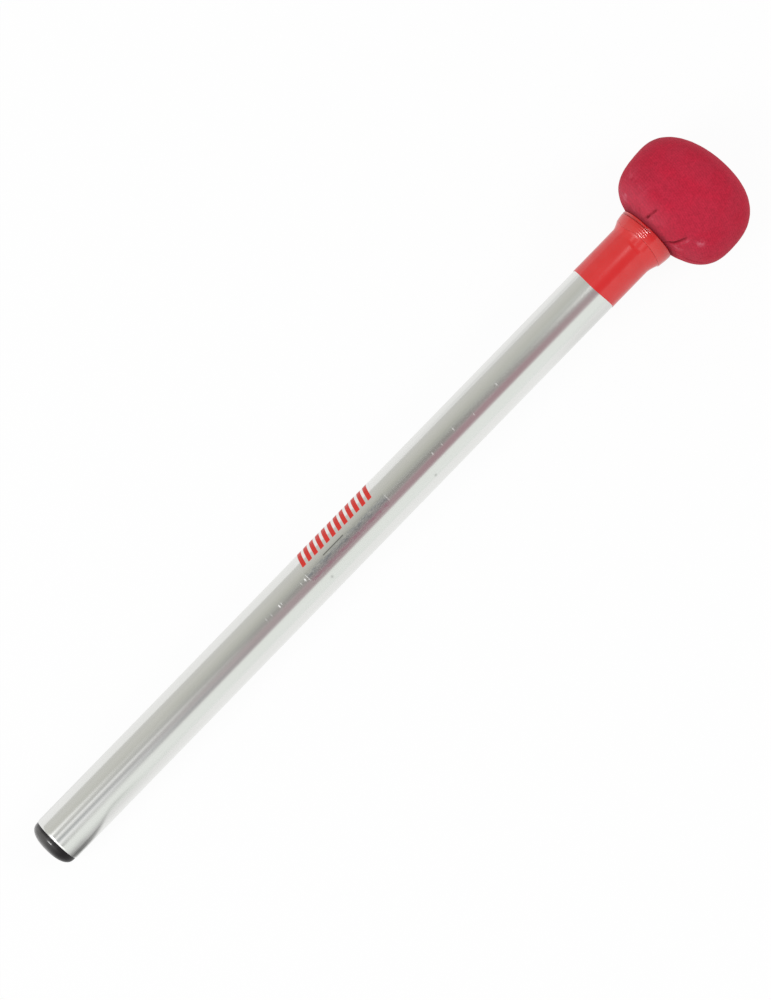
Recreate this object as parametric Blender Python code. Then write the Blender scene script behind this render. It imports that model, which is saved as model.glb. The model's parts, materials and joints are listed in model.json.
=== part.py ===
# Surdo mallet: an aluminium tube, a domed plug in its butt end and a tape-bound cloth head.
# Everything is built along one local axis. Local +X runs from the tube's butt end to the crown
# of the head, and one empty lays the finished mallet down on the surface it rests on.
# Units are metres, and +Z is up.

import math

import bmesh
import bpy
import numpy as np
from mathutils import Matrix, Vector

# Fits
SEAT_GAP = 0.0003
PRESS_GAP = 0.00015
WRAP_GAP = 0.0001

# Handle tube, drawn aluminium
TUBE_DIAMETER = 0.0222
TUBE_WALL = 0.0016
TUBE_LENGTH = 0.3632
TUBE_EDGE = 0.0004

# Domed plug in the butt end
CAP_INSET = 0.0003
CAP_DOME_HEIGHT = 0.0053
CAP_DOME_FULLNESS = 2.1
CAP_RIM_HEIGHT = 0.0004
CAP_STEM_LENGTH = 0.0210
CAP_STEM_WALL = 0.0016
CAP_FIN_COUNT = 4
CAP_FIN_PITCH = 0.0040
CAP_FIN_THICKNESS = 0.0011
CAP_FIN_DEPTH = 0.0015

# Head, as the outside of its cloth cover
HEAD_DIAMETER = 0.0568
HEAD_LOWER_HEIGHT = 0.0215
HEAD_UPPER_HEIGHT = 0.0204
HEAD_LOWER_FULLNESS = 3.2
HEAD_UPPER_FULLNESS = 2.35
HEAD_FLAT_DEPTH = 0.0005

# Cloth cover
COVER_THICKNESS = 0.0012
TAIL_THICKNESS = 0.0006
NECK_ROUND = 0.0017
PLEAT_COUNT = 16
PLEAT_DEPTH = 0.0007
PLEAT_REACH = 0.0110
PLEAT_LEAN = 0.6
TAIL_TUCK = 0.0006

# Padding
FOAM_THICKNESS = 0.0030
FELT_THICKNESS = 0.0025
FELT_TURNS = 2
BASE_FELT_DIAMETER = 0.0380
CROWN_FELT_DIAMETERS = (0.0400, 0.0270)
FELT_EDGE = 0.0006

# Wooden core, dowel, screw and cross pins
CORE_ROUND = 0.0020
CORE_WEB = 0.0036
DOWEL_GRIP = 0.0550
DOWEL_CHAMFER = 0.0020
TENON_DIAMETER = 0.0130
SCREW_DIAMETER = 0.0045
SCREW_LENGTH = 0.0260
SCREW_HEAD_DIAMETER = 0.0086
SCREW_HEAD_HEIGHT = 0.0024
SCREW_POINT = 0.0040
WASHER_DIAMETER = 0.0140
WASHER_THICKNESS = 0.0012
PIN_DIAMETER = 0.0030
PIN_INSET = 0.0070
PIN_SPACING = 0.0100
PIN_SINK = 0.0004
PIN_EDGE = 0.0004

# Tape and twine round the neck
TAPE_THICKNESS = 0.0003
SLEEVE_LENGTH = 0.0248
FLARE_LENGTH = 0.0034
FLARE_CURVE = 1.7
FLARE_STEP = 0.0002
COLLAR_LENGTH = 0.0055
COLLAR_WALL = 0.0006
COLLAR_SWELL = 0.0007
COLLAR_LIP = 0.0004
NECK_GROOVE = 0.0013
TWINE_DIAMETER = 0.0006
TWINE_SPACING = 0.00045
TWINE_INSET = 0.0004
TWINE_GAP = 0.0002

# How finely round shapes are divided. Each count is a multiple of four, so that every ring
# has a point straight below the axis and one straight out to each side.
SHOWN_SEGMENTS = 48
HIDDEN_SEGMENTS = 32
SMALL_SEGMENTS = 16
CORNER_STEPS = 2
DOME_STEPS = 6
HEAD_STEPS = 13
PADDING_STEPS = 7
FLARE_STEPS = 3
TWINE_POINTS = 24
SHARP_ANGLE = math.radians(35)

# Sizes that follow from the ones above
TUBE_RADIUS = TUBE_DIAMETER / 2
BORE_RADIUS = TUBE_RADIUS - TUBE_WALL
CAP_RADIUS = TUBE_RADIUS - CAP_INSET
HEAD_RADIUS = HEAD_DIAMETER / 2
CORE_BASE = TUBE_LENGTH + SEAT_GAP
BASE_FELT_BASE = CORE_BASE - SEAT_GAP - FELT_THICKNESS
FOAM_BASE = BASE_FELT_BASE - SEAT_GAP - FOAM_THICKNESS
HEAD_BASE = FOAM_BASE - SEAT_GAP - COVER_THICKNESS
HEAD_MIDDLE = HEAD_BASE + HEAD_LOWER_HEIGHT
HEAD_CROWN = HEAD_MIDDLE + HEAD_UPPER_HEIGHT
STACK_TOP = HEAD_CROWN - COVER_THICKNESS - FOAM_THICKNESS - 2 * SEAT_GAP
CORE_TOP = STACK_TOP - len(CROWN_FELT_DIAMETERS) * (FELT_THICKNESS + SEAT_GAP)
FELT_RADIUS = HEAD_RADIUS - COVER_THICKNESS - FOAM_THICKNESS - 2 * SEAT_GAP
CORE_RADIUS = FELT_RADIUS - FELT_TURNS * (FELT_THICKNESS + SEAT_GAP) - FELT_THICKNESS - SEAT_GAP
RECESS_DEPTH = WASHER_THICKNESS + SCREW_HEAD_HEIGHT + 2 * SEAT_GAP
RECESS_FLOOR = CORE_TOP - RECESS_DEPTH
TENON_TOP = RECESS_FLOOR - CORE_WEB - SEAT_GAP
WASHER_BASE = RECESS_FLOOR + SEAT_GAP
SCREW_SEAT = WASHER_BASE + WASHER_THICKNESS + SEAT_GAP
SCREW_TIP = SCREW_SEAT - SCREW_LENGTH
TAIL_INNER_RADIUS = TUBE_RADIUS + PRESS_GAP
TAIL_OUTER_RADIUS = TAIL_INNER_RADIUS + TAIL_THICKNESS
TWINE_RADIUS = TAIL_OUTER_RADIUS + TWINE_GAP + TWINE_DIAMETER / 2
COLLAR_BORE = TWINE_RADIUS + TWINE_DIAMETER / 2 + WRAP_GAP
COLLAR_TOP = HEAD_BASE - NECK_GROOVE
COLLAR_BASE = COLLAR_TOP - COLLAR_LENGTH
FLARE_TOP = COLLAR_BASE - WRAP_GAP
FLARE_BASE = FLARE_TOP - FLARE_LENGTH
SLEEVE_BASE = FLARE_BASE - SLEEVE_LENGTH
SLEEVE_BORE = TUBE_RADIUS + WRAP_GAP
TAIL_BASE = COLLAR_BASE - TAIL_TUCK
PLEAT_START = TAIL_OUTER_RADIUS + NECK_ROUND
PIN_PLACES = (SLEEVE_BASE + PIN_INSET, SLEEVE_BASE + PIN_INSET + PIN_SPACING)


def clear_scene():
    for obj in list(bpy.data.objects):
        bpy.data.objects.remove(obj, do_unlink=True)


def finish(name, colour, roughness, metallic=0.0):
    """A plain Principled material in the colour that the piece really has."""
    material = bpy.data.materials.new(name)
    material.use_nodes = True
    shader = material.node_tree.nodes["Principled BSDF"]
    shader.inputs["Base Color"].default_value = (*colour, 1.0)
    shader.inputs["Roughness"].default_value = roughness
    shader.inputs["Metallic"].default_value = metallic
    material.diffuse_color = (*colour, 1.0)
    return material


def add_piece(name, mesh, material, parent):
    mesh.shade_smooth()
    mesh.set_sharp_from_angle(angle=SHARP_ANGLE)
    mesh.materials.append(material)
    piece = bpy.data.objects.new(name, mesh)
    bpy.context.collection.objects.link(piece)
    piece.parent = parent
    return piece


def mesh_from(name, builder):
    """Close a bmesh with its faces pointing outwards and keep it as a mesh."""
    bmesh.ops.remove_doubles(builder, verts=builder.verts, dist=1e-6)
    bmesh.ops.recalc_face_normals(builder, faces=builder.faces)
    mesh = bpy.data.meshes.new(name)
    builder.to_mesh(mesh)
    builder.free()
    return mesh


def rounded(corners):
    """An outline of (x, radius) points. A corner with a third value is rounded to that radius."""
    points = []
    count = len(corners)
    for index, corner in enumerate(corners):
        here = Vector(corner[:2])
        if len(corner) == 2:
            points.append(here)
            continue
        before = (Vector(corners[index - 1][:2]) - here).normalized()
        after = (Vector(corners[(index + 1) % count][:2]) - here).normalized()
        half = before.angle(after) / 2
        reach = corner[2] / math.tan(half)
        centre = here + (before + after).normalized() * corner[2] / math.sin(half)
        start = here + before * reach - centre
        turn = start.angle_signed(here + after * reach - centre)
        for step in range(CORNER_STEPS + 1):
            points.append(centre + Matrix.Rotation(-turn * step / CORNER_STEPS, 2) @ start)
    return points


def turned(name, outline, segments, closed=True):
    """Turn an outline about the local X axis. An open one starts and ends on the axis."""
    builder = bmesh.new()
    ring = [builder.verts.new((x, 0.0, -radius)) for x, radius in outline]
    edges = [builder.edges.new(pair) for pair in zip(ring, ring[1:])]
    if closed:
        edges.append(builder.edges.new((ring[-1], ring[0])))
    bmesh.ops.spin(
        builder,
        geom=ring + edges,
        axis=(1.0, 0.0, 0.0),
        cent=(0.0, 0.0, 0.0),
        angle=math.tau,
        steps=segments,
        use_merge=True,
    )
    return mesh_from(name, builder)


def half_of_head(angle):
    """The height and fullness of the half, upper or lower, on that side of the widest ring."""
    if angle > 0:
        return HEAD_UPPER_HEIGHT, HEAD_UPPER_FULLNESS
    return HEAD_LOWER_HEIGHT, HEAD_LOWER_FULLNESS


def head_surface(angle):
    """Where a line from the head's middle at this angle meets the cloth, and its normal there."""
    height, fullness = half_of_head(angle)
    outward = max(0.0, math.cos(angle))
    across = outward / HEAD_RADIUS
    along = abs(math.sin(angle)) / height
    reach = (across**fullness + along**fullness) ** (-1 / fullness)
    place = Vector((HEAD_MIDDLE + reach * math.sin(angle), reach * outward))
    facing_x = math.copysign((along * reach) ** (fullness - 1) / height, angle)
    facing_out = (across * reach) ** (fullness - 1) / HEAD_RADIUS
    return place, Vector((facing_x, facing_out)).normalized()


def angle_facing(turn):
    """The angle from the head's middle to the place where the cloth faces this way."""
    height, fullness = half_of_head(turn)
    rise = height * (height * abs(math.sin(turn))) ** (1 / (fullness - 1))
    spread = HEAD_RADIUS * (HEAD_RADIUS * max(0.0, math.cos(turn))) ** (1 / (fullness - 1))
    return math.atan2(math.copysign(rise, turn), spread)


def head_outline(depth, first_radius, steps):
    """The head's meridian, from its underside at first_radius round to the crown on the axis.

    Each half is a superellipse about the widest ring, and depth moves it inwards along its own
    normal, so that one formula gives the cloth and the padding under it. The points lie midway
    between equal angles and equal turns, which crowds them a little on the tight shoulders."""
    share = first_radius / HEAD_RADIUS
    drop = HEAD_LOWER_HEIGHT * (1 - share**HEAD_LOWER_FULLNESS) ** (1 / HEAD_LOWER_FULLNESS)
    first_angle = math.atan2(-drop, first_radius)
    first_normal = head_surface(first_angle)[1]
    first_turn = math.atan2(first_normal.x, first_normal.y)
    points = []
    for step in range(steps + 1):
        left = 1 - step / steps
        even_angle = math.pi / 2 - (math.pi / 2 - first_angle) * left
        even_turn = math.pi / 2 - (math.pi / 2 - first_turn) * left
        place, normal = head_surface((even_angle + angle_facing(even_turn)) / 2)
        points.append(place - normal * depth)
    points[-1].y = 0.0
    return points


def cap_outline():
    """The plug's section: dome, rim, then a hollow stem with fins that bite in the bore."""
    rim_base = -SEAT_GAP - CAP_RIM_HEIGHT
    points = []
    for step in range(DOME_STEPS + 1):
        angle = math.pi / 2 * (1 - step / DOME_STEPS)
        rise = math.sin(angle) ** (2 / CAP_DOME_FULLNESS)
        spread = max(0.0, math.cos(angle)) ** (2 / CAP_DOME_FULLNESS)
        points.append(Vector((rim_base - CAP_DOME_HEIGHT * rise, CAP_RADIUS * spread)))
    points[0].y = 0.0
    points.append(Vector((-SEAT_GAP, CAP_RADIUS)))
    fin_radius = BORE_RADIUS - PRESS_GAP
    stem_radius = fin_radius - CAP_FIN_DEPTH
    points.append(Vector((-SEAT_GAP, stem_radius)))
    for fin in range(CAP_FIN_COUNT):
        x = CAP_FIN_PITCH * (fin + 1) - CAP_FIN_THICKNESS
        points.append(Vector((x, stem_radius)))
        points.append(Vector((x, fin_radius)))
        points.append(Vector((x + CAP_FIN_THICKNESS / 2, fin_radius)))
        points.append(Vector((x + CAP_FIN_THICKNESS, stem_radius)))
    hollow_radius = stem_radius - CAP_STEM_WALL
    points.append(Vector((CAP_STEM_LENGTH, stem_radius)))
    points.append(Vector((CAP_STEM_LENGTH, hollow_radius)))
    points.append(Vector((0.0, hollow_radius)))
    points.append(Vector((0.0, 0.0)))
    return points


def tube_outline():
    return rounded(
        [
            (0.0, BORE_RADIUS),
            (0.0, TUBE_RADIUS, TUBE_EDGE),
            (TUBE_LENGTH, TUBE_RADIUS, TUBE_EDGE),
            (TUBE_LENGTH, BORE_RADIUS),
        ]
    )


def add_tube(material, parent):
    mesh = turned("handle_tube", tube_outline(), SHOWN_SEGMENTS)
    return add_piece("handle_tube", mesh, material, parent)


def add_cap(material, parent):
    mesh = turned("butt_cap", cap_outline(), SHOWN_SEGMENTS, closed=False)
    return add_piece("butt_cap", mesh, material, parent)


def add_dowel(material, parent):
    radius = BORE_RADIUS - PRESS_GAP
    pilot = SCREW_DIAMETER / 2 + PRESS_GAP
    outline = rounded(
        [
            (TUBE_LENGTH - DOWEL_GRIP, 0.0),
            (TUBE_LENGTH - DOWEL_GRIP, radius - DOWEL_CHAMFER),
            (TUBE_LENGTH - DOWEL_GRIP + DOWEL_CHAMFER, radius),
            (TUBE_LENGTH, radius),
            (TUBE_LENGTH, TENON_DIAMETER / 2),
            (TENON_TOP, TENON_DIAMETER / 2, PIN_EDGE),
            (TENON_TOP, pilot),
            (SCREW_TIP + SCREW_POINT, pilot),
            (SCREW_TIP - SEAT_GAP, 0.0),
        ]
    )
    mesh = turned("head_dowel", outline, HIDDEN_SEGMENTS, closed=False)
    return add_piece("head_dowel", mesh, material, parent)


def add_pin(name, place, across, material, parent):
    """A cross pin through the tube and the dowel, along local Y or Z."""
    half = TUBE_RADIUS - PIN_SINK
    radius = PIN_DIAMETER / 2
    outline = rounded(
        [(-half, 0.0), (-half, radius, PIN_EDGE), (half, radius, PIN_EDGE), (half, 0.0)]
    )
    mesh = turned(name, outline, SMALL_SEGMENTS, closed=False)
    pin = add_piece(name, mesh, material, parent)
    pin.location = (place, 0.0, 0.0)
    pin.rotation_euler = across
    return pin


def drill(pieces, pin):
    """Cut the hole of a cross pin through the pieces that it holds together."""
    half = TUBE_RADIUS + SEAT_GAP
    radius = PIN_DIAMETER / 2 + WRAP_GAP
    outline = [(-half, 0.0), (-half, radius), (half, radius), (half, 0.0)]
    cutter = bpy.data.objects.new("drill_" + pin.name, turned("drill", outline, SMALL_SEGMENTS, closed=False))
    bpy.context.collection.objects.link(cutter)
    cutter.parent = pin.parent
    cutter.location = pin.location
    cutter.rotation_euler = pin.rotation_euler
    cutter.hide_render = True
    cutter.display_type = "WIRE"
    for piece in pieces:
        cut = piece.modifiers.new("hole_" + pin.name, "BOOLEAN")
        cut.operation = "DIFFERENCE"
        cut.object = cutter


def add_core(material, parent):
    socket = TENON_DIAMETER / 2 + PRESS_GAP
    screw_hole = SCREW_DIAMETER / 2 + SEAT_GAP
    outline = rounded(
        [
            (CORE_BASE, socket),
            (CORE_BASE, CORE_RADIUS, CORE_ROUND),
            (CORE_TOP, CORE_RADIUS, CORE_ROUND),
            (CORE_TOP, WASHER_DIAMETER / 2 + SEAT_GAP),
            (RECESS_FLOOR, WASHER_DIAMETER / 2 + SEAT_GAP),
            (RECESS_FLOOR, screw_hole),
            (TENON_TOP + SEAT_GAP, screw_hole),
            (TENON_TOP + SEAT_GAP, socket),
        ]
    )
    return add_piece("head_core", turned("head_core", outline, HIDDEN_SEGMENTS), material, parent)


def add_washer(material, parent):
    hole = SCREW_DIAMETER / 2 + SEAT_GAP
    top = WASHER_BASE + WASHER_THICKNESS
    outline = rounded(
        [
            (WASHER_BASE, hole),
            (WASHER_BASE, WASHER_DIAMETER / 2),
            (top, WASHER_DIAMETER / 2, WASHER_THICKNESS / 4),
            (top, hole),
        ]
    )
    return add_piece("core_washer", turned("core_washer", outline, HIDDEN_SEGMENTS), material, parent)


def add_screw(material, parent):
    head = SCREW_HEAD_DIAMETER / 2
    shank = SCREW_DIAMETER / 2
    top = SCREW_SEAT + SCREW_HEAD_HEIGHT
    outline = rounded(
        [
            (SCREW_TIP, 0.0),
            (SCREW_TIP + SCREW_POINT, shank),
            (SCREW_SEAT, shank),
            (SCREW_SEAT, head),
            (top, head, SCREW_HEAD_HEIGHT / 2),
            (top, 0.0),
        ]
    )
    mesh = turned("core_screw", outline, SMALL_SEGMENTS, closed=False)
    return add_piece("core_screw", mesh, material, parent)


def add_felt_wrap(material, parent):
    """The felt strip, rolled round the core as one spiral with a little air between its turns."""
    steps = HIDDEN_SEGMENTS * FELT_TURNS
    pitch = FELT_THICKNESS + SEAT_GAP
    inner = []
    outer = []
    for step in range(steps + 1):
        angle = math.tau * step / HIDDEN_SEGMENTS
        radius = CORE_RADIUS + SEAT_GAP + pitch * step / HIDDEN_SEGMENTS
        around = Vector((0.0, math.sin(angle), math.cos(angle)))
        inner.append(around * radius)
        outer.append(around * (radius + FELT_THICKNESS))
    builder = bmesh.new()
    face = builder.faces.new(
        [builder.verts.new(point + Vector((CORE_BASE, 0.0, 0.0))) for point in inner + outer[::-1]]
    )
    raised = bmesh.ops.extrude_face_region(builder, geom=[face])["geom"]
    risen = [item for item in raised if isinstance(item, bmesh.types.BMVert)]
    bmesh.ops.translate(builder, verts=risen, vec=(CORE_TOP - CORE_BASE, 0.0, 0.0))
    return add_piece("felt_wrap", mesh_from("felt_wrap", builder), material, parent)


def add_base_felt(material, parent):
    hole = TUBE_RADIUS + SEAT_GAP
    outline = rounded(
        [
            (BASE_FELT_BASE, hole),
            (BASE_FELT_BASE, BASE_FELT_DIAMETER / 2, FELT_EDGE),
            (BASE_FELT_BASE + FELT_THICKNESS, BASE_FELT_DIAMETER / 2),
            (BASE_FELT_BASE + FELT_THICKNESS, hole),
        ]
    )
    return add_piece("base_felt", turned("base_felt", outline, HIDDEN_SEGMENTS), material, parent)


def add_crown_felt(name, base, diameter, material, parent):
    top = base + FELT_THICKNESS
    outline = rounded(
        [(base, 0.0), (base, diameter / 2), (top, diameter / 2, FELT_EDGE), (top, 0.0)]
    )
    mesh = turned(name, outline, HIDDEN_SEGMENTS, closed=False)
    return add_piece(name, mesh, material, parent)


def crown_felt_base(index):
    return CORE_TOP + SEAT_GAP + index * (FELT_THICKNESS + SEAT_GAP)


def add_foam(material, parent):
    """The padding jacket: the head's own curve outside, stepped over the felt inside."""
    hole = TUBE_RADIUS + SEAT_GAP
    outline = head_outline(COVER_THICKNESS + SEAT_GAP, PLEAT_START, PADDING_STEPS)
    outline.insert(0, Vector((outline[0].x, hole)))
    outline.reverse()
    base_radius = BASE_FELT_DIAMETER / 2 + SEAT_GAP
    side_radius = FELT_RADIUS + SEAT_GAP
    outline.append(Vector((BASE_FELT_BASE - SEAT_GAP, hole)))
    outline.append(Vector((BASE_FELT_BASE - SEAT_GAP, base_radius)))
    outline.append(Vector((CORE_BASE - SEAT_GAP, base_radius)))
    outline.append(Vector((CORE_BASE - SEAT_GAP, side_radius)))
    outline.append(Vector((crown_felt_base(0), side_radius)))
    for index, diameter in enumerate(CROWN_FELT_DIAMETERS):
        radius = diameter / 2 + SEAT_GAP
        outline.append(Vector((crown_felt_base(index), radius)))
        outline.append(Vector((crown_felt_base(index + 1), radius)))
    outline.append(Vector((outline[-1].x, 0.0)))
    mesh = turned("foam_jacket", outline, HIDDEN_SEGMENTS, closed=False)
    return add_piece("foam_jacket", mesh, material, parent)


def cover_rings():
    """The cover's section as (x, radius, fold), from the crown over the outside and back inside.

    fold is how far a pleat stands off the cloth there, along the outline's own normal."""
    outside = head_outline(0.0, PLEAT_START, HEAD_STEPS)
    turn_x = outside[0].x - NECK_ROUND
    neck = []
    for step in range(CORNER_STEPS):
        angle = math.pi / 2 * step / CORNER_STEPS
        x = turn_x + NECK_ROUND * math.sin(angle)
        neck.append(Vector((x, PLEAT_START - NECK_ROUND * math.cos(angle))))
    outside = [Vector((TAIL_BASE, TAIL_OUTER_RADIUS))] + neck + outside
    inside = head_outline(COVER_THICKNESS, PLEAT_START, PADDING_STEPS)
    inside.insert(0, Vector((inside[0].x, TAIL_INNER_RADIUS)))
    inside.insert(0, Vector((TAIL_BASE, TAIL_INNER_RADIUS)))
    rings = []
    for point in reversed(outside):
        spread = (point.y - TAIL_OUTER_RADIUS) / PLEAT_REACH
        below = point.x < HEAD_MIDDLE and 0.0 < spread < 1.0
        fold = PLEAT_DEPTH * math.sin(math.pi * spread**PLEAT_LEAN) if below else 0.0
        rings.append((point, fold))
    rings += [(point, 0.0) for point in inside]
    return rings


def add_cover(material, parent):
    """The cloth bag. Its gathered pleats stand off the underside round the neck."""
    rings = cover_rings()
    builder = bmesh.new()
    loops = []
    for index, (point, fold) in enumerate(rings):
        if point.y == 0.0:
            loops.append([builder.verts.new((point.x, 0.0, 0.0))])
            continue
        path = rings[index + 1][0] - rings[index - 1][0] if index + 1 < len(rings) else Vector((0, 1))
        normal = Vector((path.y, -path.x)).normalized()
        loop = []
        for segment in range(SHOWN_SEGMENTS):
            angle = math.tau * segment / SHOWN_SEGMENTS
            wave = 0.5 - 0.5 * math.cos(PLEAT_COUNT * angle)
            place = point + normal * fold * wave
            loop.append(builder.verts.new((place.x, place.y * math.sin(angle), -place.y * math.cos(angle))))
        loops.append(loop)
    for loop, following in zip(loops, loops[1:]):
        for segment in range(SHOWN_SEGMENTS):
            beside = (segment + 1) % SHOWN_SEGMENTS
            corners = [loop[segment % len(loop)], loop[beside % len(loop)]]
            corners += [following[beside % len(following)], following[segment % len(following)]]
            builder.faces.new(list(dict.fromkeys(corners)))
    return add_piece("head_cover", mesh_from("head_cover", builder), material, parent)


def add_twine(material, parent):
    """The tie: one unbroken helix over the gathered tail, with its ends running straight."""
    radius = TWINE_DIAMETER / 2
    start = COLLAR_BASE + TWINE_INSET + radius
    travel = COLLAR_LENGTH - 2 * (TWINE_INSET + radius)
    turns = travel / (TWINE_DIAMETER + TWINE_SPACING)
    steps = math.ceil(turns * TWINE_POINTS)
    points = []
    for step in range(steps + 1):
        angle = math.tau * turns * step / steps
        x = start + travel * step / steps
        points.append(Vector((x, TWINE_RADIUS * math.sin(angle), TWINE_RADIUS * math.cos(angle))))
    first = (points[0] - points[1]).normalized() * TWINE_DIAMETER
    last = (points[-1] - points[-2]).normalized() * TWINE_DIAMETER
    points = [points[0] + first] + points + [points[-1] + last]
    curve = bpy.data.curves.new("binding_twine", "CURVE")
    curve.dimensions = "3D"
    curve.bevel_depth = radius
    curve.bevel_resolution = 1
    curve.use_fill_caps = True
    spline = curve.splines.new("POLY")
    spline.points.add(len(points) - 1)
    for target, point in zip(spline.points, points):
        target.co = (*point, 1.0)
    curve.materials.append(material)
    twine = bpy.data.objects.new("binding_twine", curve)
    bpy.context.collection.objects.link(twine)
    twine.parent = parent
    print(f"binding_twine: {turns:.2f} turns, least gap to itself {least_gap(points) * 1000:.2f} mm")
    return twine


def least_gap(points):
    """The narrowest space between neighbouring turns of the twine, measured on its points."""
    route = np.array(points)
    apart = TWINE_POINTS // 2
    least = math.inf
    for index in range(len(route) - apart):
        least = min(least, np.linalg.norm(route[index + apart :] - route[index], axis=1).min())
    return least - TWINE_DIAMETER


def add_neck_tape(material, parent):
    """The sleeve of tape on the tube, with its last turns flaring up on to the bound neck."""
    climb = COLLAR_BORE + COLLAR_WALL - FLARE_STEP - TAPE_THICKNESS - SLEEVE_BORE
    flare = []
    for step in range(FLARE_STEPS + 1):
        share = step / FLARE_STEPS
        flare.append(Vector((FLARE_BASE + FLARE_LENGTH * share, SLEEVE_BORE + climb * share**FLARE_CURVE)))
    outside = [point + Vector((0.0, TAPE_THICKNESS)) for point in flare]
    outline = [Vector((SLEEVE_BASE, SLEEVE_BORE)), Vector((SLEEVE_BASE, SLEEVE_BORE + TAPE_THICKNESS))]
    outline += outside + flare[::-1]
    return add_piece("neck_tape", turned("neck_tape", outline, SHOWN_SEGMENTS), material, parent)


def add_collar_tape(material, parent):
    base_radius = COLLAR_BORE + COLLAR_WALL
    outline = rounded(
        [
            (COLLAR_BASE, COLLAR_BORE),
            (COLLAR_BASE, base_radius, COLLAR_WALL / 2),
            (COLLAR_TOP, base_radius + COLLAR_SWELL, COLLAR_LIP),
            (COLLAR_TOP, COLLAR_BORE),
        ]
    )
    return add_piece("collar_tape", turned("collar_tape", outline, SHOWN_SEGMENTS), material, parent)


def lowest(outline, lean):
    """How far a turned outline reaches below the axis when its +X end is raised by lean."""
    return max((point.y * math.cos(lean) - point.x * math.sin(lean), point.x) for point in outline)


def lean_to_rest(butt, cover):
    """The lean at which the butt and the head's flat lie on one level, found by bisection."""
    low = 0.0
    high = math.radians(20)
    for _ in range(60):
        lean = (low + high) / 2
        if lowest(cover, lean)[0] - HEAD_FLAT_DEPTH > lowest(butt, lean)[0]:
            low = lean
        else:
            high = lean
    return lean


def lay_down(mallet, cover_piece):
    """Lay the mallet on z = 0, middle over the origin, and flatten the head where it rests."""
    butt = cap_outline() + tube_outline()
    cover = [point for point, _ in cover_rings()]
    lean = lean_to_rest(butt, cover)
    lift, _ = lowest(butt, lean)
    right = max(point.x * math.cos(lean) + point.y * math.sin(lean) for point in cover)
    left = min(point.x * math.cos(lean) - point.y * math.sin(lean) for point in butt)
    middle = (left + right) / 2
    mallet.rotation_euler = (0.0, -lean, 0.0)
    mallet.location = (-middle, 0.0, lift)
    _, flat_x = lowest(cover, lean)
    flat_place = flat_x * math.cos(lean) + HEAD_RADIUS * math.sin(lean) - middle
    builder = bmesh.new()
    bmesh.ops.create_cube(builder, size=HEAD_DIAMETER)
    block = bpy.data.objects.new("floor_block", mesh_from("floor_block", builder))
    bpy.context.collection.objects.link(block)
    block.location = (flat_place, 0.0, -HEAD_RADIUS)
    block.hide_render = True
    block.display_type = "WIRE"
    cut = cover_piece.modifiers.new("rest_flat", "BOOLEAN")
    cut.operation = "DIFFERENCE"
    cut.object = block
    print(f"mallet: {(right - left) * 1000:.1f} mm long, leans {math.degrees(lean):.3f} degrees")
    print(f"its axis starts at x = {-middle * 1000:.1f} mm, z = {lift * 1000:.2f} mm")
    print(f"it rests on the butt's edge and on the head's flat, near x = {flat_place * 1000:.1f} mm")


def build():
    clear_scene()
    mallet = bpy.data.objects.new("mallet", None)
    bpy.context.collection.objects.link(mallet)
    aluminium = finish("satin_aluminium", (0.78, 0.78, 0.76), 0.30, metallic=1.0)
    black_plastic = finish("black_plastic", (0.030, 0.028, 0.029), 0.40)
    red_tape = finish("red_tape", (0.62, 0.040, 0.042), 0.22)
    crimson_cloth = finish("crimson_cloth", (0.46, 0.024, 0.052), 0.90)
    cotton = finish("cotton_twine", (0.72, 0.66, 0.52), 0.90)
    beech = finish("beech_wood", (0.56, 0.36, 0.19), 0.60)
    steel = finish("zinc_steel", (0.62, 0.62, 0.60), 0.35, metallic=1.0)
    felt = finish("grey_felt", (0.30, 0.29, 0.28), 0.95)
    foam = finish("cream_foam", (0.78, 0.72, 0.55), 0.95)

    tube = add_tube(aluminium, mallet)
    add_cap(black_plastic, mallet)
    dowel = add_dowel(beech, mallet)
    quarter = math.pi / 2
    lower_pin = add_pin("dowel_pin_lower", PIN_PLACES[0], (0.0, quarter, 0.0), steel, mallet)
    upper_pin = add_pin("dowel_pin_upper", PIN_PLACES[1], (0.0, 0.0, quarter), steel, mallet)
    drill((tube, dowel), lower_pin)
    drill((tube, dowel), upper_pin)
    add_core(beech, mallet)
    add_washer(steel, mallet)
    add_screw(steel, mallet)
    add_felt_wrap(felt, mallet)
    add_base_felt(felt, mallet)
    for index, name in enumerate(("crown_felt_inner", "crown_felt_outer")):
        add_crown_felt(name, crown_felt_base(index), CROWN_FELT_DIAMETERS[index], felt, mallet)
    add_foam(foam, mallet)
    cover = add_cover(crimson_cloth, mallet)
    add_twine(cotton, mallet)
    add_neck_tape(red_tape, mallet)
    add_collar_tape(red_tape, mallet)
    lay_down(mallet, cover)


build()
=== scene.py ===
# %% [markdown]
# # A surdo mallet, dressed for its portrait
#
# A surdo is a big bass drum, and this is the mallet that plays it: an aluminium tube, a black plug
# in the butt, red tape at the neck and a padded head in crimson cloth. The solids that carry
# everything come ready made as a fixed frame. This lesson gives them their skins and finishes,
# one piece at a time, and lights them like a plain catalogue picture.

# %% Load the frame
import json
import math

import bmesh
import bpy
import numpy as np
from mathutils import Matrix, Vector


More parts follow.
